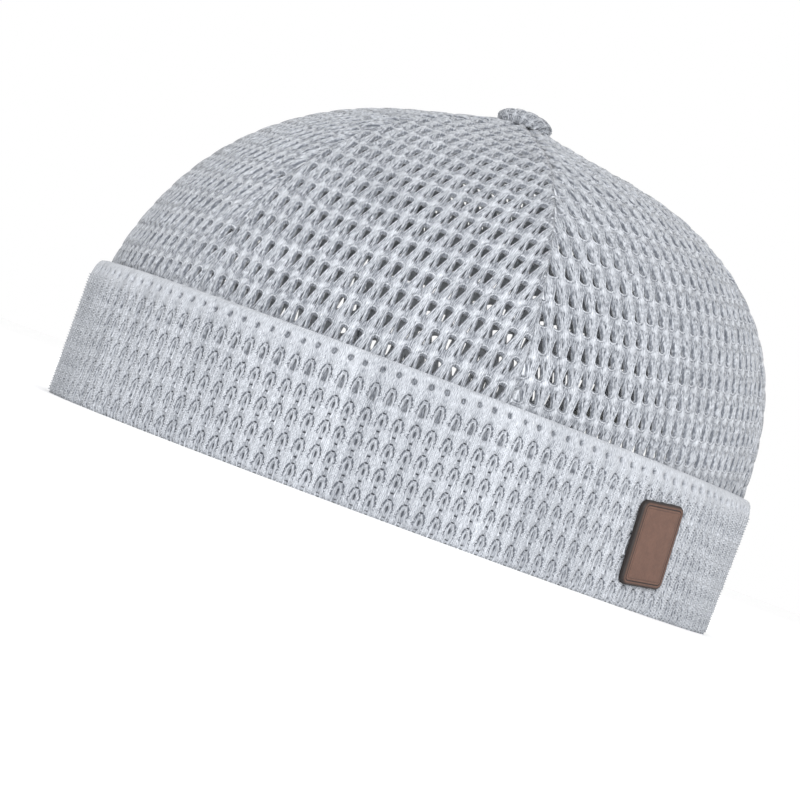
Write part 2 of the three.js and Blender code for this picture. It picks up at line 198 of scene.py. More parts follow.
# %% Outlines of openings and distances to them
def drop_outline(width, height, slope=0.0, lean=0.0):
    """A drop with a flat top and its point down, as a loop that turns counter-clockwise."""
    side = np.array([(0.10, -0.5), (0.24, -0.2), (0.37, 0.1), (0.5, 0.36), (0.44, 0.47), (0.2, 0.5)])
    loop = np.concatenate([side, (side * (-1, 1))[::-1]])
    x = loop[:, 0] * width + lean * (0.5 - loop[:, 1])
    return np.stack([x, loop[:, 1] * height + slope * loop[:, 0]], axis=-1) * MM


def oval_outline(width, height, steps=8):
    turn = np.linspace(0, 2 * np.pi, steps, endpoint=False)
    return np.stack([width / 2 * np.cos(turn), height / 2 * np.sin(turn)], axis=-1) * MM


def inside_loop(points, loop):
    x, y = points[:, 0], points[:, 1]
    inside = np.zeros(len(points), bool)
    for (x0, y0), (x1, y1) in zip(loop, np.roll(loop, -1, axis=0)):
        crosses = (y0 > y) != (y1 > y)
        with np.errstate(divide="ignore", invalid="ignore"):
            where = x0 + (y - y0) * (x1 - x0) / (y1 - y0)
        inside ^= crosses & (x < where)
    return inside


def loop_distance(points, loop):
    nearest = np.full(len(points), np.inf)
    for start, end in zip(loop, np.roll(loop, -1, axis=0)):
        run = end - start
        share = np.clip(((points - start) @ run) / (run @ run), 0, 1)
        nearest = np.minimum(nearest, np.linalg.norm(points - start - share[:, None] * run, axis=1))
    return nearest


def repeated_distance(points, loop, size):
    """Distance to a loop that is repeated in every tile."""
    shifts = [(dx * size[0], dy * size[1]) for dx in (-1, 0, 1) for dy in (-1, 0, 1)]
    return np.min([loop_distance(points, loop + np.array(shift)) for shift in shifts], axis=0)


print("points round a drop:", len(drop_outline(1, 1)))

# %% Cut a tile into triangles
ROW_PACKING = 0.87
EDGE_CLEAR = 0.4
HOLE_CLEAR = 0.45


def staggered_points(size, spacing):
    """Points in rows over a tile, each row half a step aside from the one below."""
    columns = round(size[0] / spacing)
    rows = round(size[1] / (spacing * ROW_PACKING))
    row, column = np.meshgrid(np.arange(1, rows), np.arange(columns), indexing="ij")
    x = -size[0] / 2 + (column + 0.5 + np.where(row % 2, 0.25, -0.25)) * size[0] / columns
    return np.column_stack([x.ravel(), (-size[1] / 2 + row * size[1] / rows).ravel()])


def cut_tile(size, edge_steps, holes, spacing, grooves=None):
    """Points and triangles of a flat tile, and the loop of point numbers round each hole. The
    points of grooves come in as they are, and the others keep clear of them."""
    half = np.array(size) / 2
    across = np.linspace(-half[0], half[0], edge_steps[0] + 1)
    up = np.linspace(-half[1], half[1], edge_steps[1] + 1)
    edge = [(x, y) for x in across for y in (-half[1], half[1])]
    edge += [(x, y) for y in up[1:-1] for x in (-half[0], half[0])]
    points = [np.array(edge)]
    count = len(edge)
    loops, rims = [], []
    for hole in holes:
        numbers = np.arange(count, count + len(hole))
        rims.append(numbers)
        loops += list(zip(numbers, np.roll(numbers, -1)))
        points.append(hole)
        count += len(hole)
    if spacing:
        inner = staggered_points(size, spacing)
        clear = (half - np.abs(inner)).min(axis=1) > EDGE_CLEAR * spacing
        for hole in holes:
            clear &= ~inside_loop(inner, hole)
            clear &= loop_distance(inner, hole) > HOLE_CLEAR * spacing
        if grooves is not None:
            away = np.linalg.norm(inner[:, None] - grooves[None], axis=2).min(axis=1)
            clear &= away > EDGE_CLEAR * spacing
            points.append(grooves)
        points.append(inner[clear])
    flat = np.concatenate(points)
    scale = 1 / MM
    found = delaunay_2d_cdt([Vector(p * scale) for p in flat], [(int(a), int(b)) for a, b in loops],
                            [], 0, 1e-4, True)
    made = np.array([tuple(v) for v in found[0]]) / scale
    back_to_made = {old: new for new, olds in enumerate(found[3]) for old in olds}
    triangles = np.array(found[2])
    centres = made[triangles].mean(axis=1)
    kept = np.ones(len(triangles), bool)
    for hole in holes:
        kept &= ~inside_loop(centres, hole)
    a, b, c = made[triangles].transpose(1, 0, 2)
    turned = (b - a)[:, 0] * (c - a)[:, 1] - (b - a)[:, 1] * (c - a)[:, 0] < 0
    triangles[turned] = triangles[turned][:, ::-1]
    rims = [np.array([back_to_made[n] for n in rim]) for rim in rims]
    return made, triangles[kept], rims


def hole_walls(top, bottom):
    """Triangles between a hole's upper and lower loop, facing its open middle."""
    after_top, after_bottom = np.roll(top, -1), np.roll(bottom, -1)
    first = np.stack([top, after_top, after_bottom], axis=-1)
    return np.concatenate([first, np.stack([top, after_bottom, bottom], axis=-1)])


def fan(loop):
    """Triangles that fill a loop of point numbers."""
    return np.stack([np.full(len(loop) - 2, loop[0]), loop[1:-1], loop[2:]], axis=-1)


# %% The crown's stitch
STITCH = (4.2 * MM, 6.9 * MM)
STITCH_EDGE = (5, 8)
STITCH_SPACING = 0.95 * MM
BACK_EDGE = (2, 3)
KNIT_DEPTH = 1.2 * MM
DROP = drop_outline(1.75, 3.5, slope=-0.5, lean=-0.22) + np.array([0.15, -0.4]) * MM
SLIT = oval_outline(0.46, 2.8, 8) + np.array([-1.5, -1.8]) * MM
BUNDLE_SWELL = 0.18 * MM
TIE_SWELL = 0.10 * MM
TIE_AT = 2.2 * MM
TIE_REACH = 0.5 * MM
LIP_DIP = 0.3 * MM
DROP_LIP = 0.14 * MM
SLIT_LIP = 0.13 * MM
GROUND_LIGHT = 0.36
GROUND_DARKEST = 0.04
LIGHT_RISE = 0.9 * MM


def crown_relief(points):
    """How far the ground of the knit stands proud of the wall, in metres, over one stitch: it
    swells in bundles at the tile's sides and in a tie above the drop, and dips at the lips."""
    x, y = points.T
    bundle = BUNDLE_SWELL * np.cos(2 * np.pi * (x / STITCH[0] - 0.5))
    tie = TIE_SWELL * np.exp(-(((y - TIE_AT) / TIE_REACH) ** 2))
    drop = np.exp(-repeated_distance(points, DROP, STITCH) / DROP_LIP)
    slit = np.exp(-repeated_distance(points, SLIT, STITCH) / SLIT_LIP)
    return bundle + tie - LIP_DIP * drop - LIP_DIP * slit


def ground_light(relief):
    return np.clip(GROUND_LIGHT + relief / LIGHT_RISE, GROUND_DARKEST, 1)


# %% The yarn of one stitch
LOOP = [(-0.62, -4.3), (-0.72, -2.9), (-1.0, -1.2), (-1.22, 0.5), (-1.12, 1.6), (-0.5, 2.12), (0.3, 2.1),
        (1.05, 1.75), (1.42, 1.05), (1.18, 0.0), (0.72, -1.5), (0.34, -2.9), (0.28, -4.3)]
BUNDLES = [
    [(1.62, 2.75), (1.9, 1.4), (1.75, -0.3), (1.3, -2.0), (0.92, -3.3), (0.85, -4.5)],
    [(2.1, 2.95), (2.32, 1.5), (2.22, -0.2), (1.92, -1.8), (1.55, -3.2), (1.4, -4.4)],
    [(2.55, 2.95), (2.68, 1.5), (2.62, 0.1), (2.42, -1.2), (2.25, -2.6), (1.95, -4.2)],
    [(3.05, 2.9), (2.96, 1.7), (2.88, 0.2), (3.1, -1.4), (3.16, -2.6), (2.75, -4.2)],
]
YARN_TAPER = 0.35
YARN_PLUMP = 1.15
YARN_ROOT = 0.35


def ridge(path, radius, rise, sink, steps, sides, painted_light, gain=0.9):
    """A yarn that lies on the cloth, as rows of points over it: where each lies on the flat
    cloth, how high it stands, how much painted light it takes, and the triangles between
    them. The path and the sizes are in millimetres. It stands up by its rise and goes down
    by its sink at the ends. Its painted light starts from the given base and grows by the
    gain for each millimetre of height, as a painted highlight on its crest."""
    path = np.array(path)
    knots = np.linspace(0, 1, len(path))
    share = np.linspace(0, 1, steps)
    span = np.clip(np.searchsorted(knots, share, side="right") - 1, 0, len(path) - 2)
    t = (share - knots[span]) * (len(path) - 1)
    padded = np.concatenate([[2 * path[0] - path[1]], path, [2 * path[-1] - path[-2]]])
    before, start, end, after = (padded[span + i] for i in range(4))
    t = t[:, None]
    line = 0.5 * (2 * start + (end - before) * t + (2 * before - 5 * start + 4 * end - after) * t**2
                  + (3 * start - before - 3 * end + after) * t**3)
    tangent = np.gradient(line, axis=0)
    side = np.column_stack([-tangent[:, 1], tangent[:, 0]]) / np.linalg.norm(tangent, axis=1)[:, None]
    turn = np.linspace(0, np.pi, sides)
    lift = np.sin(np.pi * share)[:, None] ** YARN_TAPER
    flat = line[:, None] + side[:, None] * np.cos(turn)[None, :, None] * radius
    height = rise * lift + radius * YARN_PLUMP * np.sin(turn)[None] - sink * (1 - lift)
    height[:, [0, -1]] -= YARN_ROOT
    height = height.reshape(-1)
    # Painted highlight: each point is painted lighter the higher it stands above the cloth.
    light = painted_light + gain * height
    return flat.reshape(-1, 2) * MM, -height * MM, light, grid_triangles(steps, sides)[:, ::-1]


def with_yarns(tile, yarns):
    """A tile with its yarns, each as flat places, depths, painted light and triangles."""
    points, depth, light, faces = (list(column) for column in zip(tile, *yarns))
    offsets = np.cumsum([0] + [len(part) for part in points])
    faces = np.concatenate([part + offset for part, offset in zip(faces, offsets)])
    return np.concatenate(points), np.concatenate(depth), np.concatenate(light), faces


def crown_yarns():
    """The loop of yarn over the drop, and the bundles of strands beside it."""
    # Each yarn gets a base of painted light and a painted highlight that grows with its height.
    loop = ridge(LOOP, radius=0.25, rise=0.02, sink=0.4, steps=13, sides=4, painted_light=0.26)
    return [loop] + [
        ridge(path, radius=0.28, rise=0.10, sink=0.45, steps=7, sides=3, painted_light=0.12, gain=1.3)
        for path in BUNDLES
    ]


print("triangles in the yarns of one stitch:", sum(len(yarn[3]) for yarn in crown_yarns()))

# %% The crown's three kinds of stitch
BLIND_FLOOR = 0.45 * MM
BLIND_LIGHT = 0.4
PLAIN_LIGHT = 0.6


def pierced_tile():
    """One stitch with its front, the walls of its openings, and a plain back."""
    front, front_faces, rims = cut_tile(STITCH, STITCH_EDGE, [DROP, SLIT], STITCH_SPACING)
    back, back_faces, back_rims = cut_tile(STITCH, BACK_EDGE, [DROP, SLIT], 0)
    relief = crown_relief(front)
    points = np.concatenate([front, back])
    depth = np.concatenate([-relief, np.full(len(back), KNIT_DEPTH)])
    light = np.concatenate([ground_light(relief), np.ones(len(back))])
    faces = [front_faces, back_faces[:, ::-1] + len(front)]
    for rim, back_rim in zip(rims, back_rims):
        faces.append(hole_walls(rim, back_rim + len(front)))
    return with_yarns((points, depth, light, np.concatenate(faces)), crown_yarns())


def blind_tile():
    """A stitch that another layer fills from behind, as along the seams."""
    front, faces, rims = cut_tile(STITCH, STITCH_EDGE, [DROP, SLIT], STITCH_SPACING)
    relief = crown_relief(front)
    points, depth = [front], [-relief]
    light, all_faces = [ground_light(relief)], [faces]
    count = len(front)
    for rim in rims:
        floor = np.arange(len(rim)) + count
        points.append(front[rim])
        depth.append(np.full(len(rim), BLIND_FLOOR))
        light.append(np.full(len(rim), BLIND_LIGHT))
        all_faces += [hole_walls(rim, floor), fan(floor)]
        count += len(rim)
    back, back_faces, _ = cut_tile(STITCH, BACK_EDGE, [], 0)
    points.append(back)
    depth.append(np.full(len(back), KNIT_DEPTH))
    light.append(np.ones(len(back)))
    all_faces.append(back_faces[:, ::-1] + count)
    ground = [np.concatenate(column) for column in (points, depth, light, all_faces)]
    return with_yarns(ground, crown_yarns())


def plain_tile():
    """A stitch of few triangles for where the cuff hides the crown."""
    front, faces, _ = cut_tile(STITCH, STITCH_EDGE, [], 0)
    return front, -crown_relief(front), np.full(len(front), PLAIN_LIGHT), faces


PIERCED = pierced_tile()
BLIND = blind_tile()
PLAIN = plain_tile()
print("triangles in one stitch:", len(PIERCED[3]), len(BLIND[3]), len(PLAIN[3]))

# %% [markdown]
# ## The six gores of the crown
#
# The knit is cut into six gores that narrow to the button, and its rows lie flat on each gore
# until the next seam cuts them off. So the tiles are laid out flat in stitches, turned by the
# gore's own tilt, and carried onto the crown. What lies past a seam is pressed onto it, and
# the cloth dips into the seam between two soft ridges where its edge is folded under.

# %% Flat cloth onto a gore
FIRST_ROW = 9.6 * MM
CROWN_HOLE_WIDTH = 0.045
SEAM_DIP = 0.4 * MM
SEAM_DIP_REACH = 1.1 * MM
SEAM_CLOSES = 0.9 * MM
SEAM_RIDGE = 0.35 * MM
SEAM_RIDGE_AT = 2.4 * MM
SEAM_RIDGE_REACH = 1.1 * MM
ARCH_HALF_WIDTH = 45.5 * MM
ARCH_HEIGHT = 49 * MM
GORES = [
    {"name": "crown_panel_" + name, "start": start, "end": end, "tilt": tilt, "turned": turned}
    for name, start, end, tilt, turned in (
        ("front_left", 0, 58, -4, False),
        ("side_left", 58, 120, 2, True),
        ("back_left", 120, 180, 0, False),
        ("back_right", 180, 240, 0, False),
        ("side_right", 240, 302, -2, True),
        ("front_right", 302, 360, 4, False),
    )
]


def gore_tables(gore):
    """Run of the cloth up the gore's middle from the cuff's upper edge, and the length of the
    row there, for widths from the wall to the top."""
    middle = (gore["start"] + gore["end"]) / 2
    widths = 1 - (1 - np.cos(np.linspace(0, np.pi / 2, 700))) * (1 - CROWN_HOLE_WIDTH)
    spine = crown_point(middle, widths, CROWN_OUTER, 0.5)
    run = run_along(spine)
    run -= np.interp(CUFF_HEIGHT, spine[:, 2], run)
    along = np.linspace(0, 1, 25)
    angles = gore["start"] + (gore["end"] - gore["start"]) * along
    rows = crown_point(angles[None, :], widths[:, None], CROWN_OUTER, along[None, :])
    lengths = np.linalg.norm(np.diff(rows, axis=1), axis=2).sum(axis=1)
    return widths, run, lengths


def on_gore(gore, tables, aside, run, depth):
    """Carries cloth onto the crown: aside from the gore's middle, run up it, and depth under
    the crown's outside. Returns the points and how far each lies from the nearest seam."""
    widths, runs, lengths = tables
    width = np.interp(run, runs, widths)
    length = np.interp(run, runs, lengths)
    along = np.clip(0.5 + aside / length, 0, 1)
    angle = gore["start"] + (gore["end"] - gore["start"]) * along
    from_seam = (0.5 - np.abs(along - 0.5)) * length
    depth = depth * smoothstep(from_seam, 0, SEAM_CLOSES)
    depth = depth + SEAM_DIP * np.exp(-((from_seam / SEAM_DIP_REACH) ** 2))
    depth = depth - SEAM_RIDGE * np.exp(-(((from_seam - SEAM_RIDGE_AT) / SEAM_RIDGE_REACH) ** 2))
    point = crown_point(angle, width, CROWN_OUTER + depth, along)
    shoulder = crown_curve(angle)[0]
    wall_run = np.interp(1 - 1e-9, widths[::-1], runs[::-1])
    middle_shoulder = crown_curve((gore["start"] + gore["end"]) / 2)[0]
    on_wall = run < wall_run
    share = 1 + (run - wall_run) / (middle_shoulder - CROWN_BOTTOM)
    low = CROWN_BOTTOM + (shoulder - CROWN_BOTTOM) * share
    point[on_wall, 2] = low[on_wall]
    return point, from_seam


def crown_width_at(angle, z, inset):
    """The crown's share of the rim's width at a height."""
    shoulder, roundness = crown_curve(angle)
    top = DOME_TOP - inset + CROWN_OUTER
    rise = np.clip((z - shoulder) / (top - shoulder), 0, 1)
    return (1 - rise**roundness) ** (1 / roundness)


def on_back_wall(x, z, inset):
    """The point of the back wall at a place across the cap and a height."""
    aside = x - RIM_MIDDLE[0]
    angle = np.full(np.shape(aside), 180.0)
    for _ in range(6):
        width = crown_width_at(angle, z, inset)
        turn = np.arcsin(np.clip(aside / ((RIM_HALF_WIDTH - inset) * width), -1, 1))
        angle = 180 - np.degrees(turn)
    y = RIM_MIDDLE[1] + (RIM_HALF_DEPTH - inset) * width * np.cos(turn)
    return np.stack(np.broadcast_arrays(x, y, z), axis=-1)


def clear_of_arch(points, inset):
    """Moves what lies in the arched opening out to its edge."""
    x = (points[:, 0] - RIM_MIDDLE[0]) / ARCH_HALF_WIDTH
    z = points[:, 2] / ARCH_HEIGHT
    reach = np.hypot(x, z)
    inside = (reach < 1) & (points[:, 1] > 0)
    scale = 1 / np.maximum(reach[inside], 1e-6)
    edge_x = RIM_MIDDLE[0] + x[inside] * scale * ARCH_HALF_WIDTH
    edge_z = z[inside] * scale * ARCH_HEIGHT
    points[inside] = on_back_wall(edge_x, edge_z, inset[inside])
    return points


# %% Lay the stitches on each gore
HIDDEN_BELOW = -7 * MM
STITCH_PULL = 0.2 * MM
STITCH_SWELL = 0.07
STITCH_TONE = 0.06
SEAM_CLOSED = 1.2 * MM
SEAM_SHADE = 0.15
SEAM_SHADE_REACH = SEAM_RIDGE_AT * 0.6
OVER_SEAM = 0.75
INSIDE_ARCH = 0.98
END_MARGIN = 2


def lay_tiles(tile, centres, size, angle, origin, turned):
    """Copies of a tile at their centres. Each stitch is pulled a little out of place, less so
    towards the tile's edges, where it meets its neighbours."""
    points, depth, light, faces = tile
    dice = np.random.default_rng(len(centres))
    inner = np.prod(np.cos(np.pi * np.clip(points / np.array(size), -0.5, 0.5)), axis=1)
    pull = dice.normal(0, STITCH_PULL, (len(centres), 2))
    swell = dice.normal(0, STITCH_SWELL, (len(centres), 1, 1))
    flat = points * (1 + swell * inner[None, :, None]) + pull[:, None] * inner[None, :, None]
    laid = ((-flat if turned else flat) + centres[:, None]).reshape(-1, 2)
    light = (light[None] * dice.normal(1, STITCH_TONE, (len(centres), 1))).ravel()
    place = laid / np.array(size)
    turn = np.radians(angle)
    aside = laid[:, 0] * np.cos(turn) - laid[:, 1] * np.sin(turn)
    run = origin + laid[:, 0] * np.sin(turn) + laid[:, 1] * np.cos(turn)
    count = len(centres)
    all_faces = (faces[None] + (np.arange(count) * len(points))[:, None, None]).reshape(-1, 3)
    sign = -1 if turned else 1
    return aside, run, np.tile(depth, count), light, place * sign, all_faces


def stitch_centres(gore, tables):
    """Centres of the pierced tiles, of the filled ones along the seams, and of the plain ones
    that the cuff hides."""
    _, runs, lengths = tables
    turn = np.radians(gore["tilt"])
    columns, rows = np.meshgrid(np.arange(-16, 17), np.arange(-8, 30))
    centres = np.column_stack([columns.ravel() * STITCH[0], rows.ravel() * STITCH[1]])
    aside = centres[:, 0] * np.cos(turn) - centres[:, 1] * np.sin(turn)
    run = FIRST_ROW + centres[:, 0] * np.sin(turn) + centres[:, 1] * np.cos(turn)
    length = np.interp(run, runs, lengths)
    beyond = np.abs(aside) - length / 2
    reached = (beyond < STITCH[0] * OVER_SEAM) & (run > CROWN_BOTTOM - CUFF_HEIGHT - STITCH[1] / 2)
    reached &= run < runs[-1] + STITCH[1] / 2
    angle = gore["start"] + (gore["end"] - gore["start"]) * (0.5 + aside / length)
    under_cuff = (run < HIDDEN_BELOW) & (np.abs(angle - 180) > 180 - CUFF_END + END_MARGIN)
    blind = beyond > -SEAM_CLOSED
    width = np.interp(run, runs, tables[0])
    centre = crown_point(angle, width, CROWN_OUTER, 0.5)
    centre[:, 2] = np.where(run < 0, CUFF_HEIGHT + run, centre[:, 2])
    in_arch = np.hypot((centre[:, 0] - RIM_MIDDLE[0]) / ARCH_HALF_WIDTH,
                       (centre[:, 2] + STITCH[1] / 2) / ARCH_HEIGHT) < INSIDE_ARCH
    reached &= ~(in_arch & (centre[:, 1] > 0))
    seen = reached & ~under_cuff
    return centres[seen & ~blind], centres[seen & blind], centres[reached & under_cuff]


def crown_gore(gore):
    """One gore: its pierced, filled and plain stitches, cut off at the seams and the arch."""
    tables = gore_tables(gore)
    centres = stitch_centres(gore, tables)
    parts = [lay_tiles(tile, places, STITCH, gore["tilt"], FIRST_ROW, gore["turned"])
             for tile, places in zip((PIERCED, BLIND, PLAIN), centres)]
    aside, run, depth, light, place = (
        np.concatenate([part[i] for part in parts]) for i in range(5)
    )
    offsets = np.cumsum([0] + [len(part[0]) for part in parts])
    faces = np.concatenate([part[5] + offset for part, offset in zip(parts, offsets)])
    lowest = CROWN_BOTTOM - CUFF_HEIGHT
    points, from_seam = on_gore(gore, tables, aside, np.clip(run, lowest, tables[1][-1]), depth)
    points = clear_of_arch(points, CROWN_OUTER + depth)
    light = light * (1 - SEAM_SHADE + SEAM_SHADE * smoothstep(from_seam, 0, SEAM_SHADE_REACH))
    piece = make_piece("knit_" + gore["name"], points, faces, place, light)
    print("  stitches, open, filled and plain:", [len(places) for places in centres])
    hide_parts(gore["name"])
    return piece


gore_pieces = [crown_gore(gore) for gore in GORES]

# %% [markdown]
# ## The rolled cuff
#
# The cuff is the same cloth turned up, so it shows the knit's other side: ribs like rope, and
# between them an arch of yarn round a narrow slit. The cloth runs in under the hem, up the
# outside, over the fold and down behind. Each row of stitches is a little different: large
# dashes at the hem, slits in the middle rows, drops under the fold and round dots on it.

# %% Pockets in the cuff's stitches
CUFF_STITCH = (4.27 * MM, 6.5 * MM)
CUFF_ROWS = ("hem", "slit", "slit", "slit", "drop", "dot")


def cuff_holes(kind):
    """Outlines of the pockets in one stitch of each kind."""
    slit = oval_outline(0.6, 1.7, 8)
    dash = oval_outline(1.15, 0.44, 6)
    above, below = np.array([0, 2.35]) * MM, np.array([0, -2.3]) * MM
    if kind == "hem":
        return [slit, dash + above, oval_outline(1.9, 0.55, 8) + below]
    if kind == "slit":
        return [slit, dash + above, dash + below]
    if kind == "drop":
        return [-drop_outline(1.35, 3.3) + np.array([0, -0.2]) * MM, dash + above]
    return [oval_outline(1.5, 1.9, 10) + np.array([0, -0.3]) * MM]


print("pockets in one stitch:", {kind: len(cuff_holes(kind)) for kind in CUFF_ROWS})

# %% Ribs and grooves of the cuff's cloth
CUFF_LIGHT = 0.47
CUFF_LIP_DIP = 0.25
CUFF_LIP = 0.15 * MM
ROPE_SWELL = 0.16
ROPE_LIGHT = 0.7
FOLD_SWELL = 0.05
FOLD_SMOOTH = (-2.6, -0.6)
GROOVE_AT = (0.75, 1.32)
GROOVE_BEND = 0.45
GROOVE_FROM = 2.1
GROOVE_TO = -2.0
GROOVE_STARTS = 8
GROOVE_FADES = 3
GROOVE_BANK = 0.28
GROOVE_DEPTH = 0.8 * MM
GROOVE_SHADE = 1.2


def cuff_rope(points, kind):
    """How far the ribs at the tile's sides stand proud, in millimetres. On the fold they fade
    into smooth cloth."""
    x, y = points.T
    rope = ROPE_SWELL * np.cos(2 * np.pi * (x / CUFF_STITCH[0] - 0.5))
    smooth = smoothstep(y / MM, *FOLD_SMOOTH) if kind == "dot" else 0
    return rope * (1 - smooth) + FOLD_SWELL * smooth


def groove_middle(share):
    """How far from the tile's middle a groove runs, at a share of its length."""
    return GROOVE_AT[0] + (GROOVE_AT[1] - GROOVE_AT[0]) * smoothstep(share, 0, GROOVE_BEND)


def groove_points():
    """Two lines that leave the dash and run down past the slit, with a bank on each side."""
    share = np.linspace(0, 1, 6)
    x = groove_middle(share)
    y = GROOVE_FROM + (GROOVE_TO - GROOVE_FROM) * share
    rows = [np.column_stack([side * (x + bank), y])
            for side in (-1, 1) for bank in (-GROOVE_BANK, 0, GROOVE_BANK)]
    return np.concatenate(rows) * MM


def in_groove(points, kind):
    """How deep a point lies in one of the two grooves, from 0 to 1. The fold has none."""
    if kind == "dot":
        return np.zeros(len(points))
    x, y = points.T / MM
    share = (y - GROOVE_FROM) / (GROOVE_TO - GROOVE_FROM)
    across = np.clip(1 - np.abs(np.abs(x) - groove_middle(share)) / GROOVE_BANK, 0, 1)
    start = np.clip(share * GROOVE_STARTS + 0.5, 0, 1)
    return across * start * np.clip((1 - share) * GROOVE_FADES, 0, 1)


def cuff_relief(points, holes, kind):
    """The cloth under the yarns, in metres."""
    lips = np.zeros(len(points))
    for hole in holes:
        lips -= CUFF_LIP_DIP * np.exp(-repeated_distance(points, hole, CUFF_STITCH) / CUFF_LIP)
    return (cuff_rope(points, kind) + lips) * MM - GROOVE_DEPTH * in_groove(points, kind)


def cuff_light(points, kind):
    lit = CUFF_LIGHT + ROPE_LIGHT * cuff_rope(points, kind)
    return lit - GROOVE_SHADE * in_groove(points, kind)


print("points in the grooves of one stitch:", len(groove_points()))

# %% Yarn and beads on the cuff
CUFF_LOOP = [(-0.68, -3.2), (-0.74, -1.9), (-0.74, -0.3), (-0.62, 0.8), (-0.32, 1.45), (0, 1.55),
             (0.32, 1.45), (0.62, 0.8), (0.74, -0.3), (0.74, -1.9), (0.68, -3.2)]
CUFF_RING = [(-0.5, -2.45), (-0.34, -2.95), (0, -3.12), (0.34, -2.95), (0.5, -2.45)]
DROP_ARCH_WIDTH = 1.25
BEADS_IN_STITCH = 9
BEAD_COLUMN = 0.4
LAST_BEAD_BELOW = -1.7


def cuff_yarns(kind):
    """The arch of yarn round the slit, and the beads of the rope at the tile's side."""
    width, height = CUFF_STITCH[0] / MM, CUFF_STITCH[1] / MM
    yarns = []
    # Each yarn and bead gets a base of painted light and a painted highlight that grows with its height.
    if kind != "dot":
        arch = np.array(CUFF_LOOP) * (DROP_ARCH_WIDTH if kind == "drop" else 1, 1)
        yarns.append(ridge(arch, radius=0.36, rise=-0.3, sink=0.05, steps=11, sides=4, painted_light=0.38))
    if kind == "slit":
        yarns.append(ridge(CUFF_RING, radius=0.17, rise=0.1, sink=0.2, steps=5, sides=3, painted_light=0.3))
    for bead in range(BEADS_IN_STITCH):
        y = height * ((bead + 0.5) / BEADS_IN_STITCH - 0.5)
        if kind == "dot" and y > LAST_BEAD_BELOW:
            continue
        for side in (-1, 1):
            x = width / 2 + side * BEAD_COLUMN
            path = [(x - side * 0.4, y - 0.3), (x, y + 0.02), (x + side * 0.42, y + 0.1)]
            yarns.append(ridge(path, radius=0.29, rise=0.26, sink=0.3, steps=3, sides=3,
                               painted_light=-0.1, gain=2.4))
    return yarns


print("yarns in one stitch:", {kind: len(cuff_yarns(kind)) for kind in CUFF_ROWS})

# %% One stitch of the cuff's cloth
CUFF_STITCH_EDGE = (6, 9)
CUFF_SPACING = 0.9 * MM
POCKET_DEPTH = 1.25 * MM
POCKET_LIGHT = {"hem": -0.2, "slit": -0.2, "drop": 0.15, "dot": 0.15}


def cuff_tile(kind):
    """One stitch of the cuff's cloth, with a closed pocket in each hole."""
    holes = cuff_holes(kind)
    grooves = None if kind == "dot" else groove_points()
    front, faces, rims = cut_tile(CUFF_STITCH, CUFF_STITCH_EDGE, holes, CUFF_SPACING, grooves)
    relief = cuff_relief(front, holes, kind)
    points, depth = [front], [-relief]
    light, all_faces = [cuff_light(front, kind)], [faces]
    count = len(front)
    for rim in rims:
        lip = np.arange(len(rim)) + count
        floor = lip + len(rim)
        points += [front[rim], front[rim]]
        depth += [-relief[rim], np.full(len(rim), POCKET_DEPTH)]
        light.append(np.full(2 * len(rim), POCKET_LIGHT[kind]))
        all_faces += [hole_walls(lip, floor), fan(floor)]
        count += 2 * len(rim)
    return [np.concatenate(column) for column in (points, depth, light, all_faces)]


# %% Flat cloth onto the cuff
HEM_TO = 4.7 * MM
CUFF_CORNER = 1.2 * MM
CORNER_STEPS = 30
FOLD_IN = 2.1 * MM
FOLD_RISE = 5.2 * MM
LINING_FOOT = 1.6 * MM
END_ROUND = 1.2 * MM


def cuff_profile():
    """The cuff's outside, in under the hem, up the wall, over the soft fold and down behind:
    the run up from the hem, and the inset and height there. The last two columns say which
    way is out of the cloth."""
    turn = np.linspace(0, np.pi / 2, CORNER_STEPS)
    back = CUFF_WALL - FOLD_IN
    line = np.concatenate([
        [(HEM_TO, 0)],
        np.column_stack([CUFF_CORNER * (1 - np.sin(turn)), CUFF_CORNER * (1 - np.cos(turn))]),
        np.column_stack([FOLD_IN * (1 - np.cos(turn)), CUFF_HEIGHT - FOLD_RISE * (1 - np.sin(turn))]),
        np.column_stack([FOLD_IN + back * np.sin(turn), CUFF_HEIGHT - back * (1 - np.cos(turn))]),
        [(CUFF_WALL, LINING_FOOT)],
    ])
    length = run_along(line)
    even = np.linspace(0, length[-1], 3000)
    inset, height = (np.interp(even, length, line[:, i]) for i in range(2))
    start = length[CORNER_STEPS] - CUFF_CORNER
    return even - start, inset, height, -np.gradient(height, even), np.gradient(inset, even)


CUFF_PROFILE = cuff_profile()
CUFF_ANGLES = np.linspace(-CUFF_END, CUFF_END, 1500)
CUFF_LENGTHS = run_along(oval(CUFF_ANGLES, 0, 0))
CUFF_HALF = CUFF_LENGTHS[-1] / 2
CUFF_COLUMNS = round(2 * CUFF_HALF / CUFF_STITCH[0])
print("columns of stitches round the cuff:", CUFF_COLUMNS)


def on_cuff(aside, run, depth):
    """Carries cloth onto the cuff: aside round the rim from the front, and run up from the hem,
    over the fold and down the inside. The cloth is rounded off at the cuff's two ends."""
    from_end = CUFF_HALF - np.abs(np.clip(aside, -CUFF_HALF, CUFF_HALF))
    depth = depth + END_ROUND * np.exp(-((from_end / END_ROUND) ** 2))
    angle = np.interp(aside, CUFF_LENGTHS - CUFF_HALF, CUFF_ANGLES)
    runs = CUFF_PROFILE[0]
    inset, z, out_inset, out_z = (np.interp(run, runs, column) for column in CUFF_PROFILE[1:])
    inset = inset - depth * out_inset
    z = np.maximum(z - depth * out_z, 0)
    return oval(angle, inset - CUFF_FLARE * z / CUFF_HEIGHT, z)


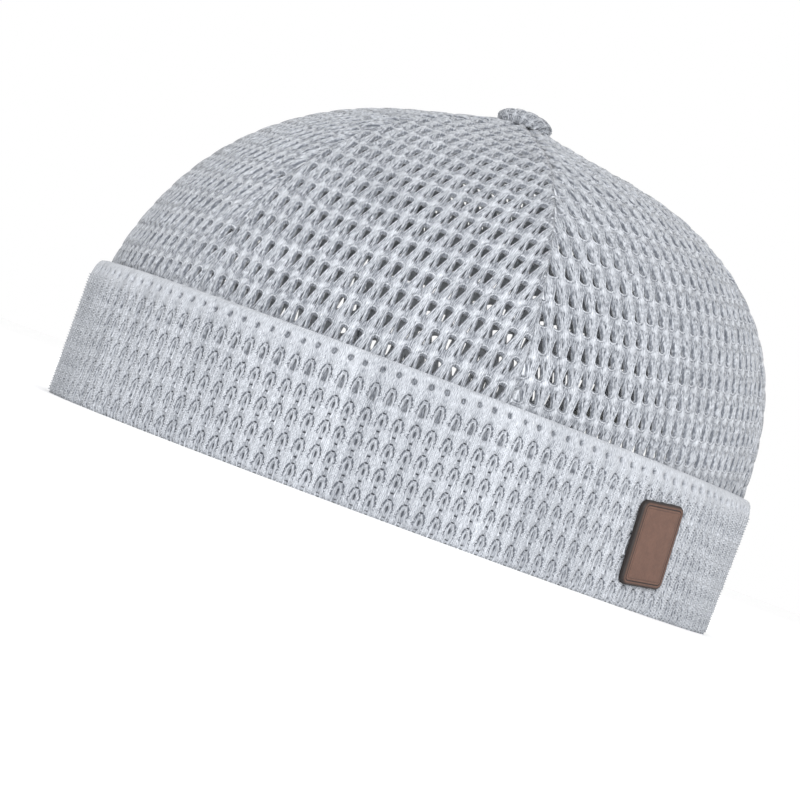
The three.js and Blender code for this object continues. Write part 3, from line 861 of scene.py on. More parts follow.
# %% Lay the cuff's rows
CUFF_FIRST_CENTRE = 3.1 * MM
LINING_RUNS = np.linspace(CUFF_FIRST_CENTRE + 5.5 * CUFF_STITCH[1], CUFF_PROFILE[0][-1], 9)
HEM_RUNS = np.append(np.array([-4.2, -2.6, -0.9]) * MM, CUFF_FIRST_CENTRE - CUFF_STITCH[1] / 2)
SMOOTH_CLOTH = [
    {"runs": LINING_RUNS, "fineness": 2, "light": 0.4},
    {"runs": HEM_RUNS, "fineness": 6, "light": 0.8},
]


def cuff_rows(tiles):
    """Tiles round the cuff, row by row, and the count of their points."""
    stretch = 2 * CUFF_HALF / (CUFF_COLUMNS * CUFF_STITCH[0])
    start = -(CUFF_COLUMNS - 1) / 2
    blocks, offset = [], 0
    for row, kind in enumerate(CUFF_ROWS):
        centres = np.column_stack([
            (start + np.arange(CUFF_COLUMNS)) * CUFF_STITCH[0],
            np.full(CUFF_COLUMNS, CUFF_FIRST_CENTRE + row * CUFF_STITCH[1]),
        ])
        aside, run, depth, light, place, faces = lay_tiles(tiles[kind], centres, CUFF_STITCH,
                                                           0, 0, False)
        blocks.append((on_cuff(aside * stretch, run, depth), faces + offset, place, light))
        offset += len(aside)
    return blocks, offset


def cuff_piece():
    """The cuff's stitches, with smooth cloth down behind them and in under the hem."""
    blocks, offset = cuff_rows({kind: cuff_tile(kind) for kind in set(CUFF_ROWS)})
    for cloth in SMOOTH_CLOTH:
        columns = cloth["fineness"] * CUFF_COLUMNS
        aside, run = np.meshgrid(np.linspace(-CUFF_HALF, CUFF_HALF, columns), cloth["runs"])
        flat = np.column_stack([aside.ravel(), run.ravel()])
        blocks.append((on_cuff(*flat.T, np.zeros(len(flat))),
                       grid_triangles(len(cloth["runs"]), columns) + offset,
                       flat / CUFF_STITCH, np.full(len(flat), cloth["light"])))
        offset += len(flat)
    piece = make_piece("knit_cuff", *(np.concatenate(column) for column in zip(*blocks)))
    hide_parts("cuff")
    return piece


def cuff_yarn_piece():
    tiles = {}
    for kind in set(CUFF_ROWS):
        first, *others = cuff_yarns(kind)
        tiles[kind] = with_yarns(first, others)
    blocks, _ = cuff_rows(tiles)
    return make_piece("cuff_yarns", *(np.concatenate(column) for column in zip(*blocks)))


cuff = cuff_piece()
cuff_strands = cuff_yarn_piece()

# %% [markdown]
# ## Yarn
#
# The knit is pale cotton with a cool cast. It looks nearly white where it lies open to the
# light, and greyer down in the stitch. Finer than the mesh can hold are the strands and the
# fuzz of the yarn, which come from one shared group of nodes as colour and height.

# %% Helpers for materials
def new_material(name, roughness, sheen=0.0, specular=0.5):
    material = bpy.data.materials.new(name)
    material.use_nodes = True
    shader = material.node_tree.nodes["Principled BSDF"]
    shader.inputs["Roughness"].default_value = roughness
    shader.inputs["Sheen Weight"].default_value = sheen
    shader.inputs["Specular IOR Level"].default_value = specular
    return material, material.node_tree, shader


def add(tree, kind, values=None, **settings):
    made = tree.nodes.new(kind)
    for name, value in settings.items():
        setattr(made, name, value)
    for key, value in (values or {}).items():
        if isinstance(value, bpy.types.NodeSocket):
            tree.links.new(value, made.inputs[key])
        else:
            made.inputs[key].default_value = value
    return made


def maths(tree, operation, first, second=0.0):
    return add(tree, "ShaderNodeMath", {0: first, 1: second}, operation=operation).outputs[0]


def mix_colour(tree, share, first, second):
    made = add(tree, "ShaderNodeMix", {0: share, 6: first, 7: second}, data_type="RGBA")
    return made.outputs[2]


def new_group(name, inputs, outputs):
    group = bpy.data.node_groups.new(name, "ShaderNodeTree")
    for socket_name, kind, value in inputs:
        socket = group.interface.new_socket(socket_name, in_out="INPUT", socket_type=kind)
        if value is not None:
            socket.default_value = value
    for socket_name, kind in outputs:
        group.interface.new_socket(socket_name, in_out="OUTPUT", socket_type=kind)
    return group, add(group, "NodeGroupInput").outputs, add(group, "NodeGroupOutput").inputs


# %% Shared group: the strands of the yarn
def yarn_group():
    group, given, result = new_group(
        "Yarn",
        [
            ("Place", "NodeSocketVector", None),
            ("Open", "NodeSocketFloat", 1.0),
            ("Strands", "NodeSocketFloat", 9.0),
            ("Fleck", "NodeSocketFloat", 1.0),
            ("Lit", "NodeSocketColor", (0.8, 0.8, 0.8, 1)),
            ("Shaded", "NodeSocketColor", (0.3, 0.3, 0.3, 1)),
        ],
        [("Color", "NodeSocketColor"), ("Height", "NodeSocketFloat")],
    )

    def noise(vector, scale, detail):
        values = {"Vector": vector, "Scale": scale, "Detail": detail}
        return add(group, "ShaderNodeTexNoise", values).outputs[0]

    def times(first, second):
        return maths(group, "MULTIPLY", first, second)

    def plus(first, second):
        return maths(group, "ADD", first, second)

    place = given["Place"]
    apart = add(group, "ShaderNodeSeparateXYZ", {0: place})
    shifted = plus(times(noise(place, 3.0, 2.0), 0.35), apart.outputs[0])
    strand = maths(group, "SINE", times(times(shifted, given["Strands"]), 2 * np.pi))
    fuzz = noise(place, 34.0, 3.0)
    drawn = add(group, "ShaderNodeVectorMath", {0: place, 1: (17.0, 5.0, 1.0)}, operation="MULTIPLY")
    fleck = maths(group, "SUBTRACT", noise(drawn.outputs[0], 1.0, 3.0), 0.5)
    fleck = times(fleck, given["Fleck"])
    height = plus(plus(times(strand, 0.3), fleck), times(fuzz, 0.9))
    group.links.new(height, result["Height"])
    patch = times(maths(group, "SUBTRACT", noise(place, 0.35, 3.0), 0.5), 0.18)
    open_share = plus(plus(plus(given["Open"], times(strand, 0.09)), patch), fleck)
    open_share = maths(group, "MINIMUM", maths(group, "MAXIMUM", open_share, 0.0), 1.0)
    group.links.new(mix_colour(group, open_share, given["Shaded"], given["Lit"]), result["Color"])
    return group


YARN = yarn_group()
YARN_LIT = (0.635, 0.66, 0.705, 1)
YARN_SHADED = (0.10, 0.11, 0.13, 1)


def shade(tree, shader, group, values, bump, strength):
    """A shared group in a material, with its colour and its height as relief."""
    made = add(tree, "ShaderNodeGroup", node_tree=group)
    for key, value in values.items():
        made.inputs[key].default_value = value
    relief = add(tree, "ShaderNodeBump",
                 {"Height": made.outputs["Height"], "Distance": bump, "Strength": strength})
    tree.links.new(made.outputs["Color"], shader.inputs["Base Color"])
    tree.links.new(relief.outputs[0], shader.inputs["Normal"])
    return made


def yarn_material(name, strands, fleck, bump):
    material, tree, shader = new_material(name, roughness=0.78, sheen=0.2, specular=0.35)
    values = {"Strands": strands, "Fleck": fleck, "Lit": YARN_LIT, "Shaded": YARN_SHADED}
    yarn = shade(tree, shader, YARN, values, bump, 0.9)
    place = add(tree, "ShaderNodeAttribute", attribute_name="knit_place")
    light = add(tree, "ShaderNodeAttribute", attribute_name="open_to_light")
    tree.links.new(place.outputs["Vector"], yarn.inputs["Place"])
    tree.links.new(light.outputs["Fac"], yarn.inputs["Open"])
    return material


def finish_piece(piece, material):
    piece.data.materials.append(material)
    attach(piece, "root")


crown_yarn = yarn_material("crown_knit", 8.0, 1.5, 0.14 * MM)
cuff_yarn = yarn_material("cuff_knit", 9.0, 1.2, 0.14 * MM)
for piece in gore_pieces:
    finish_piece(piece, crown_yarn)
for piece in (cuff, cuff_strands):
    finish_piece(piece, cuff_yarn)

# %% [markdown]
# ## Sewn strips
#
# The sweatband, the tape round the arch and the webbing are strips with a closed section that
# is carried along a line. The same loft makes all three, and a line of running stitches is a
# row of short plump threads whose ends go down into the cloth.

# %% Lofts and running stitches
def loft(sections):
    """Points and triangles through sections of equal count, closed at both ends."""
    count, size = sections.shape[:2]
    points = sections.reshape(-1, 3)
    faces = [grid_triangles(count, size, closed=True)]
    half = size // 2
    for base in (0, (count - 1) * size):
        step = np.arange(half - 1)
        a, b = base + step, base + step + 1
        c, d = base + size - 2 - step, base + size - 1 - step
        faces += [np.stack([a, b, c], axis=-1), np.stack([a, c, d], axis=-1)]
    return points, np.concatenate(faces)


def face_outwards(piece):
    mesh = bmesh.new()
    mesh.from_mesh(piece.data)
    bmesh.ops.recalc_face_normals(mesh, faces=mesh.faces)
    mesh.to_mesh(piece.data)
    mesh.free()


def running_stitches(path, normals, length, gap, radius, rise):
    """Threads along a path, each a short tube that swells in its middle."""
    run = run_along(path)
    starts = np.arange(gap, run[-1] - length - gap, length + gap)
    share = np.linspace(0, 1, 6)
    where = starts[:, None] + share[None] * length

    def along(values):
        return np.stack([np.interp(where, run, values[:, i]) for i in range(3)], axis=-1)

    tangent = along(np.gradient(path, run, axis=0))
    normal = along(normals)
    side = np.cross(normal, tangent)
    swell = np.sin(np.pi * np.clip(share, 0.04, 0.96)) ** 0.5
    centre = along(path) + normal * (rise * swell - 0.8 * radius)[None, :, None]
    turn = np.linspace(0, 2 * np.pi, 7)[:-1]
    ring = (normal[:, :, None] * np.cos(turn)[None, None, :, None]
            + side[:, :, None] * np.sin(turn)[None, None, :, None])
    points = centre[:, :, None] + ring * (radius * swell)[None, :, None, None]
    one = grid_triangles(len(share), len(turn), closed=True)
    faces = one[None] + (np.arange(len(starts)) * len(share) * len(turn))[:, None, None]
    return points.reshape(-1, 3), faces.reshape(-1, 3)


THREAD = {"length": 2.7 * MM, "gap": 1.0 * MM, "radius": 0.24 * MM, "rise": 0.06 * MM}


def sew(name, lines):
    """One piece of all the stitches along some lines, each a path with its normals."""
    blocks = [running_stitches(*line, **THREAD) for line in lines]
    offsets = np.cumsum([0] + [len(points) for points, _ in blocks])
    faces = [block[1] + offset for block, offset in zip(blocks, offsets)]
    return make_piece(name, np.concatenate([points for points, _ in blocks]), np.concatenate(faces))


# %% The sweatband
BAND_WALL = 1.3 * MM
BAND_FROM = 1.5 * MM
BAND_TO = 31 * MM
BAND_INSET = (5.7 * MM, 7.8 * MM)
BAND_SWELL = (127, 136)
BAND_SETBACK = 2.4 * MM
BAND_HEM = 4.2 * MM
BAND_STITCH_LINES = (3.6 * MM, 12.5 * MM, 22 * MM)
BAND_LINE_SHARE = 0.985
BAND_END_LINE = 2.2
BAND_WAVE = 0.16 * MM
BAND_RIPPLE = 0.10 * MM
STITCH_PINCH = 0.22 * MM
PINCH_REACH = 0.8 * MM
HEM_PUFF = 0.30 * MM
HEM_EDGE = 0.5 * MM


def band_inset(angle):
    """The inset of the band's outside, which swells inwards over the strap's ends."""
    share = smoothstep(np.abs(angle), *BAND_SWELL)
    return BAND_INSET[0] + (BAND_INSET[1] - BAND_INSET[0]) * share


def band_end(z, setback=BAND_SETBACK):
    """The angle at which the band stops at a height, where the arch cuts it off."""
    reach = (ARCH_HALF_WIDTH + setback) * np.sqrt(1 - (z / (ARCH_HEIGHT + setback)) ** 2)
    return 180 - np.degrees(np.arcsin(reach / (RIM_HALF_WIDTH - BAND_INSET[1])))


def band_puff(angle, z):
    """How far the band's face stands out. Slow waves of unlike lengths keep it uneven, the
    lines of stitches pinch it, and its folded hem is thicker."""
    puff = BAND_WAVE * np.sin(angle * 0.21 + 90 * z) * np.sin(angle * 0.083 + 1.7)
    puff += BAND_RIPPLE * np.sin(angle * 0.57 - 260 * z)
    for line in BAND_STITCH_LINES:
        puff = puff - STITCH_PINCH * np.exp(-(((z - line) / PINCH_REACH) ** 2))
    return puff + HEM_PUFF * (1 - smoothstep(z, BAND_HEM, BAND_HEM + HEM_EDGE))


def band_face(share, z, out=0.0):
    """The band's inner face at a share of its way round from the front, and at a height."""
    angle = share * band_end(z)
    puff = band_puff(angle, z) * smoothstep(1 - np.abs(share), 0, 0.01)
    return oval(angle, band_inset(angle) + BAND_WALL + puff + out, z)


def sweatband():
    shares = np.linspace(-1, 1, 260)
    up = np.linspace(BAND_FROM, BAND_TO, 36)
    inner = band_face(shares[:, None], up[None, ::-1])
    angle = shares[:, None] * band_end(up)[None]
    outer = oval(angle, band_inset(angle), up[None])
    piece = make_piece("sewn_sweatband", *loft(np.concatenate([outer, inner], axis=1)))
    face_outwards(piece)
    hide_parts("sweatband")
    across = np.linspace(-BAND_LINE_SHARE, BAND_LINE_SHARE, 900)
    up = np.linspace(BAND_FROM + 1 * MM, BAND_TO - 1 * MM, 60)
    places = [(across, np.full(len(across), z)) for z in BAND_STITCH_LINES]
    places += [(side * (1 - BAND_END_LINE / band_end(up)), up) for side in (-1, 1)]
    lines = []
    for share, z in places:
        path = band_face(share, z)
        lines.append((path, (band_face(share, z, 1 * MM) - path) / (1 * MM)))
    return piece, sew("sweatband_stitches", lines)


# %% The tape round the arch
TAPE_WALL = 0.7 * MM
TAPE_LEG = 4.2 * MM
TAPE_FROM = 2.4 * MM
TAPE_TO = 5.9 * MM
TAPE_OVER = 1.0 * MM
TAPE_ROUND = 0.8 * MM
TAPE_WRINKLE = 0.13 * MM
TAPE_LINE_IN = 3.1 * MM
TAPE_LINE_END = 0.03
LEG_STEPS = 6


def tape_outline():
    """The tape's section as pairs of distance into the cloth and inset."""
    turn = np.linspace(0, np.pi / 2, 4)
    legs = np.linspace(TAPE_LEG, 0, LEG_STEPS)
    outer = [(leg, TAPE_FROM) for leg in legs]
    outer += [(-np.sin(t) * TAPE_OVER, TAPE_FROM + TAPE_ROUND * (1 - np.cos(t))) for t in turn[1:]]
    outer += [(-np.cos(t) * TAPE_OVER, TAPE_TO - TAPE_ROUND * (1 - np.sin(t))) for t in turn]
    outer += [(leg, TAPE_TO) for leg in legs[::-1][1:]]
    outer = np.array(outer)
    inner = outer.copy()
    inner[:, 0] = np.clip(outer[:, 0], -TAPE_OVER + TAPE_WALL, None)
    inner[:, 1] = np.clip(outer[:, 1], TAPE_FROM + TAPE_WALL, TAPE_TO - TAPE_WALL)
    return np.concatenate([outer, inner[::-1]])


def round_arch(turn, into, inset):
    """A point of the back wall beside the arch, at a turn round it and so far into the cloth."""
    x = RIM_MIDDLE[0] + (ARCH_HALF_WIDTH + into) * np.cos(turn)
    z = (ARCH_HEIGHT + into) * np.sin(turn)
    return on_back_wall(x, np.maximum(z, CROWN_BOTTOM), inset)


def arch_tape():
    low = np.arcsin(CROWN_BOTTOM / (ARCH_HEIGHT + TAPE_LEG))
    turn = np.linspace(low, np.pi - low, 260)
    outline = tape_outline()
    size = len(outline) // 2
    wave = TAPE_WRINKLE * np.sin(turn * 61 + 0.6 * np.sin(turn * 17)) * np.sin(turn * 23 + 1)
    wrinkle = np.abs(wave)[:, None] * np.linspace(0.3, 1, LEG_STEPS)
    into = np.broadcast_to(outline[:, 0], (len(turn), 2 * size))
    inset = np.broadcast_to(outline[:, 1], (len(turn), 2 * size)).copy()
    inset[:, :LEG_STEPS] -= wrinkle
    inset[:, size - LEG_STEPS:size] += wrinkle[:, ::-1]
    piece = make_piece("sewn_arch_binding", *loft(round_arch(turn[:, None], into, inset)))
    face_outwards(piece)
    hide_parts("arch_binding")
    turn = np.linspace(low + TAPE_LINE_END, np.pi - low - TAPE_LINE_END, 500)
    into = np.full(len(turn), TAPE_LINE_IN)
    lines = []
    for inset, out in ((TAPE_FROM, -1), (TAPE_TO, 1)):
        path = round_arch(turn, into, np.full(len(turn), inset))
        normal = round_arch(turn, into, np.full(len(turn), inset + out * MM)) - path
        lines.append((path, normal / np.linalg.norm(normal, axis=1)[:, None]))
    return piece, sew("binding_stitches", lines)


# %% The webbing strap
STRAP_OUTER = 6.3 * MM
STRAP_WALL = 1.2 * MM
STRAP_FROM = 1.8 * MM
STRAP_WIDTH = 19 * MM
STRAP_END = 137
STRAP_DIP = 2.35 * MM
BUCKLE_ANGLE = 170
PLATE_LENGTH = 12.6 * MM
SLOT_LENGTH = 2.1 * MM
RIB_PITCH = 1.15 * MM
RIB_HEIGHT = 0.14 * MM
RIB_STAGGER = 9 * MM
SELVAGE = 1.1 * MM
EDGE_ROUND = 0.25 * MM
STRAP_LINES = (0, 0.25, 1.0, 1.5, 4, 7, 9.5, 12, 15, 17.5, 18.0, 18.75, 19)


def strap_dip(angle):
    """How far the strap stands out where it passes behind the buckle's plate."""
    one_degree = np.linalg.norm(np.diff(oval(np.array([0, 1]) + BUCKLE_ANGLE, STRAP_OUTER, 0), axis=0))
    along = np.abs(angle - BUCKLE_ANGLE) * one_degree
    middle = (PLATE_LENGTH + SLOT_LENGTH) / 2
    ramp = 0.7 * SLOT_LENGTH
    return STRAP_DIP * (1 - smoothstep(along, middle - ramp, middle + ramp))


def strap():
    angles = np.linspace(STRAP_END, 360 - STRAP_END, 620)
    path = oval(angles, STRAP_OUTER, 0)
    run = run_along(path)
    across = np.array(STRAP_LINES) * MM
    edge = np.minimum(across, STRAP_WIDTH - across)
    ribbed = smoothstep(edge, SELVAGE - 0.1 * MM, SELVAGE + 0.3 * MM)
    rounding = EDGE_ROUND * (1 - smoothstep(edge, 0, 0.3 * MM))
    phase = run[:, None] / RIB_PITCH + 0.25 * np.round(across[None] / RIB_STAGGER)
    rib = RIB_HEIGHT * np.abs(np.sin(np.pi * phase)) ** 0.7 * ribbed[None]
    dip = strap_dip(angles)[:, None]
    z = np.broadcast_to(STRAP_FROM + across, rib.shape)
    lower = RIB_HEIGHT * 0.6
    outer = oval(angles[:, None], STRAP_OUTER - dip + lower - rib + rounding, z)
    inner = oval(angles[:, None], STRAP_OUTER + STRAP_WALL - dip - lower + rib - rounding, z)
    piece = make_piece("woven_strap", *loft(np.concatenate([outer, inner[:, ::-1]], axis=1)))
    face_outwards(piece)
    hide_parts("back_strap")
    return piece


# %% [markdown]
# ## Label and button
#
# The leather label is a small pillow with a burnt edge and a thin tooled line inside it, and
# its middle is bare. The button on top is cloth drawn over a disc, with soft gathers at its rim.

# %% The label
LABEL_ANGLE = 89
LABEL_SIZE = (16.4 * MM, 22.4 * MM)
LABEL_CORNER = 2.2 * MM
LABEL_MIDDLE = 17.7 * MM
LABEL_TILT = 6
LABEL_GAP = 0.3 * MM
LABEL_RINGS = [(0.35, 0.0), (0.0, 0.35), (0.0, 1.25), (0.12, 1.5), (0.35, 1.68), (0.7, 1.78),
               (1.0, 1.8), (1.12, 1.68), (1.3, 1.66), (1.42, 1.8), (1.8, 1.8), (1.92, 1.72),
               (2.04, 1.8), (2.8, 1.8), (3.8, 1.82), (5.0, 1.83)]
BURNT_EDGE = 0.3
BURNT_FADE = 0.6
TOOLED_LINE = (1.05, 1.4)
THIN_LINE = 1.92


def oval_frame(angle, inset, z):
    """The frame on the oval: along it, straight up, and outwards."""
    ends = oval(np.array([angle + 0.5, angle - 0.5]), inset, 0)
    along = Vector(ends[0] - ends[1]).normalized()
    up = Vector((0, 0, 1))
    outward = along.cross(up)
    frame = Matrix((along, up, outward)).transposed().to_4x4()
    frame.translation = Vector(oval(np.array([angle]), inset, z)[0])
    return frame


def rounded_outline(width, height, radius, steps=10):
    """A rounded rectangle as a loop, with each straight side shared into short pieces."""
    loop = []
    for turn, x, y in ((0, 1, 1), (1, -1, 1), (2, -1, -1), (3, 1, -1)):
        for t in np.linspace(turn, turn + 1, steps) * np.pi / 2:
            loop.append((x * (width / 2 - radius) + radius * np.cos(t),
                         y * (height / 2 - radius) + radius * np.sin(t)))
        end = np.array(loop[-1])
        after = np.array([[-1, 1], [-1, -1], [1, -1], [1, 1]][turn])
        reach = np.array([width / 2 - radius, height / 2]) if turn % 2 == 0 else np.array(
            [width / 2, height / 2 - radius])
        goal = after * reach
        loop += [tuple(end + (goal - end) * s) for s in np.linspace(0, 1, steps + 1)[1:-1]]
    return np.array(loop)


def label_piece():
    """The label, built up in rings. Each ring has a margin from the edge and a rise from the
    back, in millimetres, and the front and the back close round a point in the middle."""
    sections = []
    for margin, rise in LABEL_RINGS:
        width = LABEL_SIZE[0] - 2 * margin * MM
        height = LABEL_SIZE[1] - 2 * margin * MM
        loop = rounded_outline(width, height, max(LABEL_CORNER - margin * MM, 0.25 * MM))
        rough = 0.05 * MM * np.sin(np.arange(len(loop)) * 1.9) * (margin < BURNT_EDGE)
        sections.append(np.column_stack([loop * (1 + rough[:, None] / (8 * MM)),
                                         np.full(len(loop), rise * MM)]))
    sections = np.array(sections)
    count, size = sections.shape[:2]
    middles = [[0, 0, LABEL_RINGS[0][1] * MM], [0, 0, LABEL_RINGS[-1][1] * MM]]
    points = np.concatenate([sections.reshape(-1, 3), middles])
    faces = [grid_triangles(count, size, closed=True)]
    for base, middle, flip in ((0, count * size, -1), ((count - 1) * size, count * size + 1, 1)):
        step = np.arange(size)
        cap = np.stack([np.full(size, middle), base + step, base + (step + 1) % size], axis=-1)
        faces.append(cap[:, ::flip])
    flare = CUFF_FLARE * LABEL_MIDDLE / CUFF_HEIGHT
    frame = oval_frame(LABEL_ANGLE, -LABEL_GAP - flare, LABEL_MIDDLE)
    frame = frame @ Matrix.Rotation(math.atan(CUFF_FLARE / CUFF_HEIGHT), 4, "X")
    frame = frame @ Matrix.Rotation(math.radians(LABEL_TILT), 4, "Z")
    frame = np.array(frame)
    placed = points @ frame[:3, :3].T + frame[:3, 3]
    margin = np.array([ring[0] for ring in LABEL_RINGS])
    burnt = 1 - np.clip((margin - BURNT_EDGE) / BURNT_FADE, 0, 1)
    burnt += (margin > TOOLED_LINE[0]) * (margin < TOOLED_LINE[1]) + (margin == THIN_LINE) * 0.6
    burnt = np.append(np.repeat(np.clip(burnt, 0, 1), size), [1, 0])
    piece = make_piece("leather_label", placed, np.concatenate(faces), points[:, :2] / MM,
                       burnt, "burnt")
    face_outwards(piece)
    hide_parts("side_label")
    return piece


# %% The button
BUTTON_RADIUS = 7.6 * MM
BUTTON_EDGE = 1.6 * MM
BUTTON_HEIGHT = 4.7 * MM
BUTTON_GAP = 0.3 * MM
BUTTON_GATHERS = 18
GATHER_DEPTH = 0.2 * MM
BUTTON_SCALE = 0.62
BUTTON_CLOTH = BUTTON_RADIUS * 1.12


def on_button(aside, run, depth, seat):
    """Carries cloth onto the button: over the dome, down its rim and a little way under. The
    gathers are uneven and deepen towards the rim."""
    share = np.clip(np.hypot(aside, run) / BUTTON_CLOTH, 1e-6, 1.25)
    on_dome = np.minimum(share, 1)
    lift = on_dome * np.pi / 2
    under = np.clip(share - 1, 0, None) * BUTTON_CLOTH
    turn = np.arctan2(run, aside)
    folds = np.cos(turn * BUTTON_GATHERS + 0.8 * np.sin(3 * turn))
    radius = BUTTON_RADIUS + GATHER_DEPTH * folds * on_dome**3 - depth
    radius = radius * np.sin(lift) - under * 0.3
    height = (BUTTON_HEIGHT - BUTTON_EDGE - depth) * np.cos(lift) + BUTTON_EDGE - under
    return np.stack([RIM_MIDDLE[0] + radius * np.cos(turn), RIM_MIDDLE[1] + radius * np.sin(turn),
                     np.maximum(height, 0.1 * MM) + seat + BUTTON_GAP], axis=-1)


def button_piece():
    seat = max(crown_height(angle, BUTTON_RADIUS / (RIM_HALF_WIDTH - CROWN_OUTER), CROWN_OUTER)
               for angle in (0, 180))
    columns, rows = np.meshgrid(np.arange(-4, 5), np.arange(-3, 4))
    centres = np.column_stack([columns.ravel() * STITCH[0], rows.ravel() * STITCH[1]])
    centres = centres[np.hypot(*centres.T) * BUTTON_SCALE < BUTTON_CLOTH + 3 * MM]
    aside, run, depth, light, place, faces = lay_tiles(BLIND, centres, STITCH, 25, 0, False)
    points = on_button(aside * BUTTON_SCALE, run * BUTTON_SCALE, depth * BUTTON_SCALE, seat)
    piece = make_piece("knit_button", points, faces, place, light)
    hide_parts("crown_button")
    return piece


band, band_threads = sweatband()
tape, tape_threads = arch_tape()
webbing = strap()
label = label_piece()
button = button_piece()

# %% [markdown]
# ## Cloth, webbing, plastic and leather
#
# The sweatband is a brushed cloth with a soft nap and faint stains of shade. The webbing is
# nearly black with a little shine on its ribs. The buckle is moulded plastic with a fine
# grain, and the leather is brown with a burnt edge.

# %% Shared group: mottled cloth and leather
def mottle_group():
    group, given, result = new_group(
        "Mottle",
        [
            ("Size", "NodeSocketFloat", 100.0),
            ("Grain", "NodeSocketFloat", 2000.0),
            ("First", "NodeSocketColor", (0.3, 0.3, 0.3, 1)),
            ("Second", "NodeSocketColor", (0.2, 0.2, 0.2, 1)),
        ],
        [("Color", "NodeSocketColor"), ("Height", "NodeSocketFloat")],
    )
    where = add(group, "ShaderNodeTexCoord").outputs["Object"]
    broad = add(group, "ShaderNodeTexNoise", {"Vector": where, "Scale": given["Size"], "Detail": 4.0})
    fine = add(group, "ShaderNodeTexNoise", {"Vector": where, "Scale": given["Grain"], "Detail": 4.0})
    share = maths(group, "ADD", maths(group, "MULTIPLY", broad.outputs[0], 0.6),
                  maths(group, "MULTIPLY", fine.outputs[0], 0.4))
    group.links.new(mix_colour(group, share, given["First"], given["Second"]), result["Color"])
    group.links.new(fine.outputs[0], result["Height"])
    return group


MOTTLE = mottle_group()


def mottled_material(name, first, second, size, grain, bump, **finish):
    material, tree, shader = new_material(name, **finish)
    values = {"Size": size, "Grain": grain, "First": (*first, 1), "Second": (*second, 1)}
    shade(tree, shader, MOTTLE, values, bump * MM, 0.7)
    return material


def burn_leather(material, colour):
    """Mixes the burnt colour into the leather where its share says so."""
    tree = material.node_tree
    base = tree.nodes["Principled BSDF"].inputs["Base Color"]
    brown = base.links[0].from_socket
    burnt = add(tree, "ShaderNodeAttribute", attribute_name="burnt")
    tree.links.new(mix_colour(tree, burnt.outputs["Fac"], brown, (*colour, 1)), base)


suede = mottled_material("brushed_cloth", (0.40, 0.405, 0.375), (0.27, 0.275, 0.255),
                         60, 1800, 0.10, roughness=0.92, sheen=0.35, specular=0.2)
tape_cloth = mottled_material("binding_tape", (0.46, 0.47, 0.45), (0.33, 0.335, 0.32),
                              150, 2200, 0.10, roughness=0.9, sheen=0.3, specular=0.2)
grey_thread = mottled_material("grey_thread", (0.19, 0.19, 0.175), (0.11, 0.11, 0.10),
                               400, 4000, 0.05, roughness=0.7)
black_webbing = mottled_material("black_webbing", (0.020, 0.022, 0.025), (0.010, 0.011, 0.013),
                                 120, 3000, 0.06, roughness=0.62, sheen=0.25, specular=0.4)
black_plastic = mottled_material("black_plastic", (0.014, 0.015, 0.016), (0.010, 0.011, 0.012),
                                 200, 3500, 0.02, roughness=0.38, specular=0.5)
leather = mottled_material("label_leather", (0.150, 0.080, 0.058), (0.072, 0.040, 0.030),
                           420, 1500, 0.14, roughness=0.62, specular=0.35)
burn_leather(leather, (0.018, 0.014, 0.013))

for piece, material, slot in (
    (band, suede, "band_cloth"),
    (band_threads, grey_thread, "band_cloth"),
    (tape, tape_cloth, "band_cloth"),
    (tape_threads, grey_thread, "band_cloth"),
    (webbing, black_webbing, "strap_webbing"),
    (label, leather, "label_leather"),
    (button, crown_yarn, "knit_cloth"),
):
    finish_piece(piece, material)

buckle = frame["nodes"]["strap_buckle"]
buckle.data.materials.clear()
buckle.data.materials.append(black_plastic)

# %% [markdown]
# ## Studio
#
# The cap is shown on a plain pale floor in soft light from all round, with a broad lamp at the
# front and a weak one behind. The camera stands low, just above the floor, and is rolled, so
# that the cap leans in the picture.

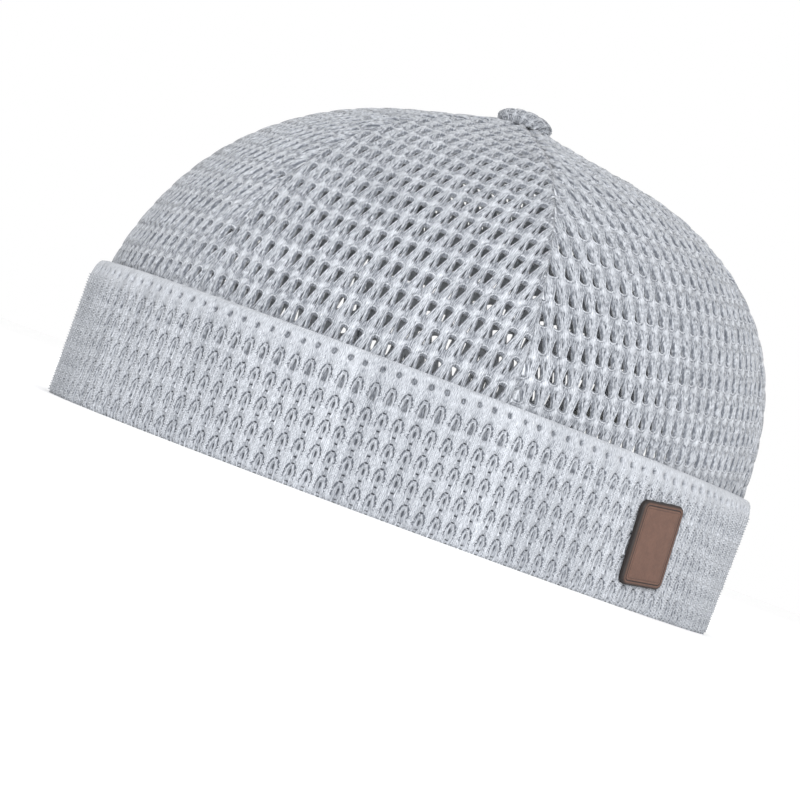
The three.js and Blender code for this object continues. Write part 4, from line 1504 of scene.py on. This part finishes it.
# %% Floor, light and camera
FLOOR_SIZE = 12.0
CAMERA_AZIMUTH = 41.8
CAMERA_ROLL = 20.4
CAMERA_DISTANCE = 1.0
CAMERA_HEIGHT = 16 * MM
CAMERA_LENS = 165.4
CAMERA_AIM = Vector((-0.008, 0.001, 0.031))
LAMP_AIM = Vector((0, 0, 0.05))


def studio_floor():
    half = FLOOR_SIZE / 2
    mesh = bpy.data.meshes.new("floor")
    mesh.from_pydata([(-half, -half, 0), (half, -half, 0), (half, half, 0), (-half, half, 0)], [],
                     [(0, 1, 2, 3)])
    floor = bpy.data.objects.new("floor", mesh)
    bpy.context.scene.collection.objects.link(floor)
    material, _, shader = new_material("pale_floor", roughness=0.9, specular=0.2)
    shader.inputs["Base Color"].default_value = (0.98, 0.98, 0.98, 1)
    mesh.materials.append(material)


def lamp(name, place, size, power):
    light = bpy.data.lights.new(name, "AREA")
    light.size = size
    light.energy = power
    made = bpy.data.objects.new(name, light)
    made.location = place
    made.rotation_euler = (LAMP_AIM - Vector(place)).to_track_quat("-Z", "Y").to_euler()
    bpy.context.scene.collection.objects.link(made)


def studio_camera():
    camera = bpy.data.cameras.new("camera")
    camera.lens = CAMERA_LENS
    camera.clip_start = 0.05
    made = bpy.data.objects.new("camera", camera)
    turn = math.radians(CAMERA_AZIMUTH)
    made.location = (CAMERA_DISTANCE * math.sin(turn), -CAMERA_DISTANCE * math.cos(turn), CAMERA_HEIGHT)
    look = (CAMERA_AIM - made.location).to_track_quat("-Z", "Y")
    roll = Matrix.Rotation(math.radians(CAMERA_ROLL), 4, "Z")
    made.rotation_euler = (look.to_matrix().to_4x4() @ roll).to_euler()
    bpy.context.scene.collection.objects.link(made)
    bpy.context.scene.camera = made


studio_floor()
world = bpy.data.worlds.new("studio")
bpy.context.scene.world = world
world.use_nodes = True
world.node_tree.nodes["Background"].inputs["Color"].default_value = (1, 1, 1, 1)
world.node_tree.nodes["Background"].inputs["Strength"].default_value = 1.0
lamp("front_lamp", place=(1.3, -1.25, 0.5), size=0.8, power=34)
lamp("side_lamp", place=(-1.2, 1.3, 1.2), size=1.0, power=7)
studio_camera()
bpy.context.scene.view_settings.view_transform = "Standard"
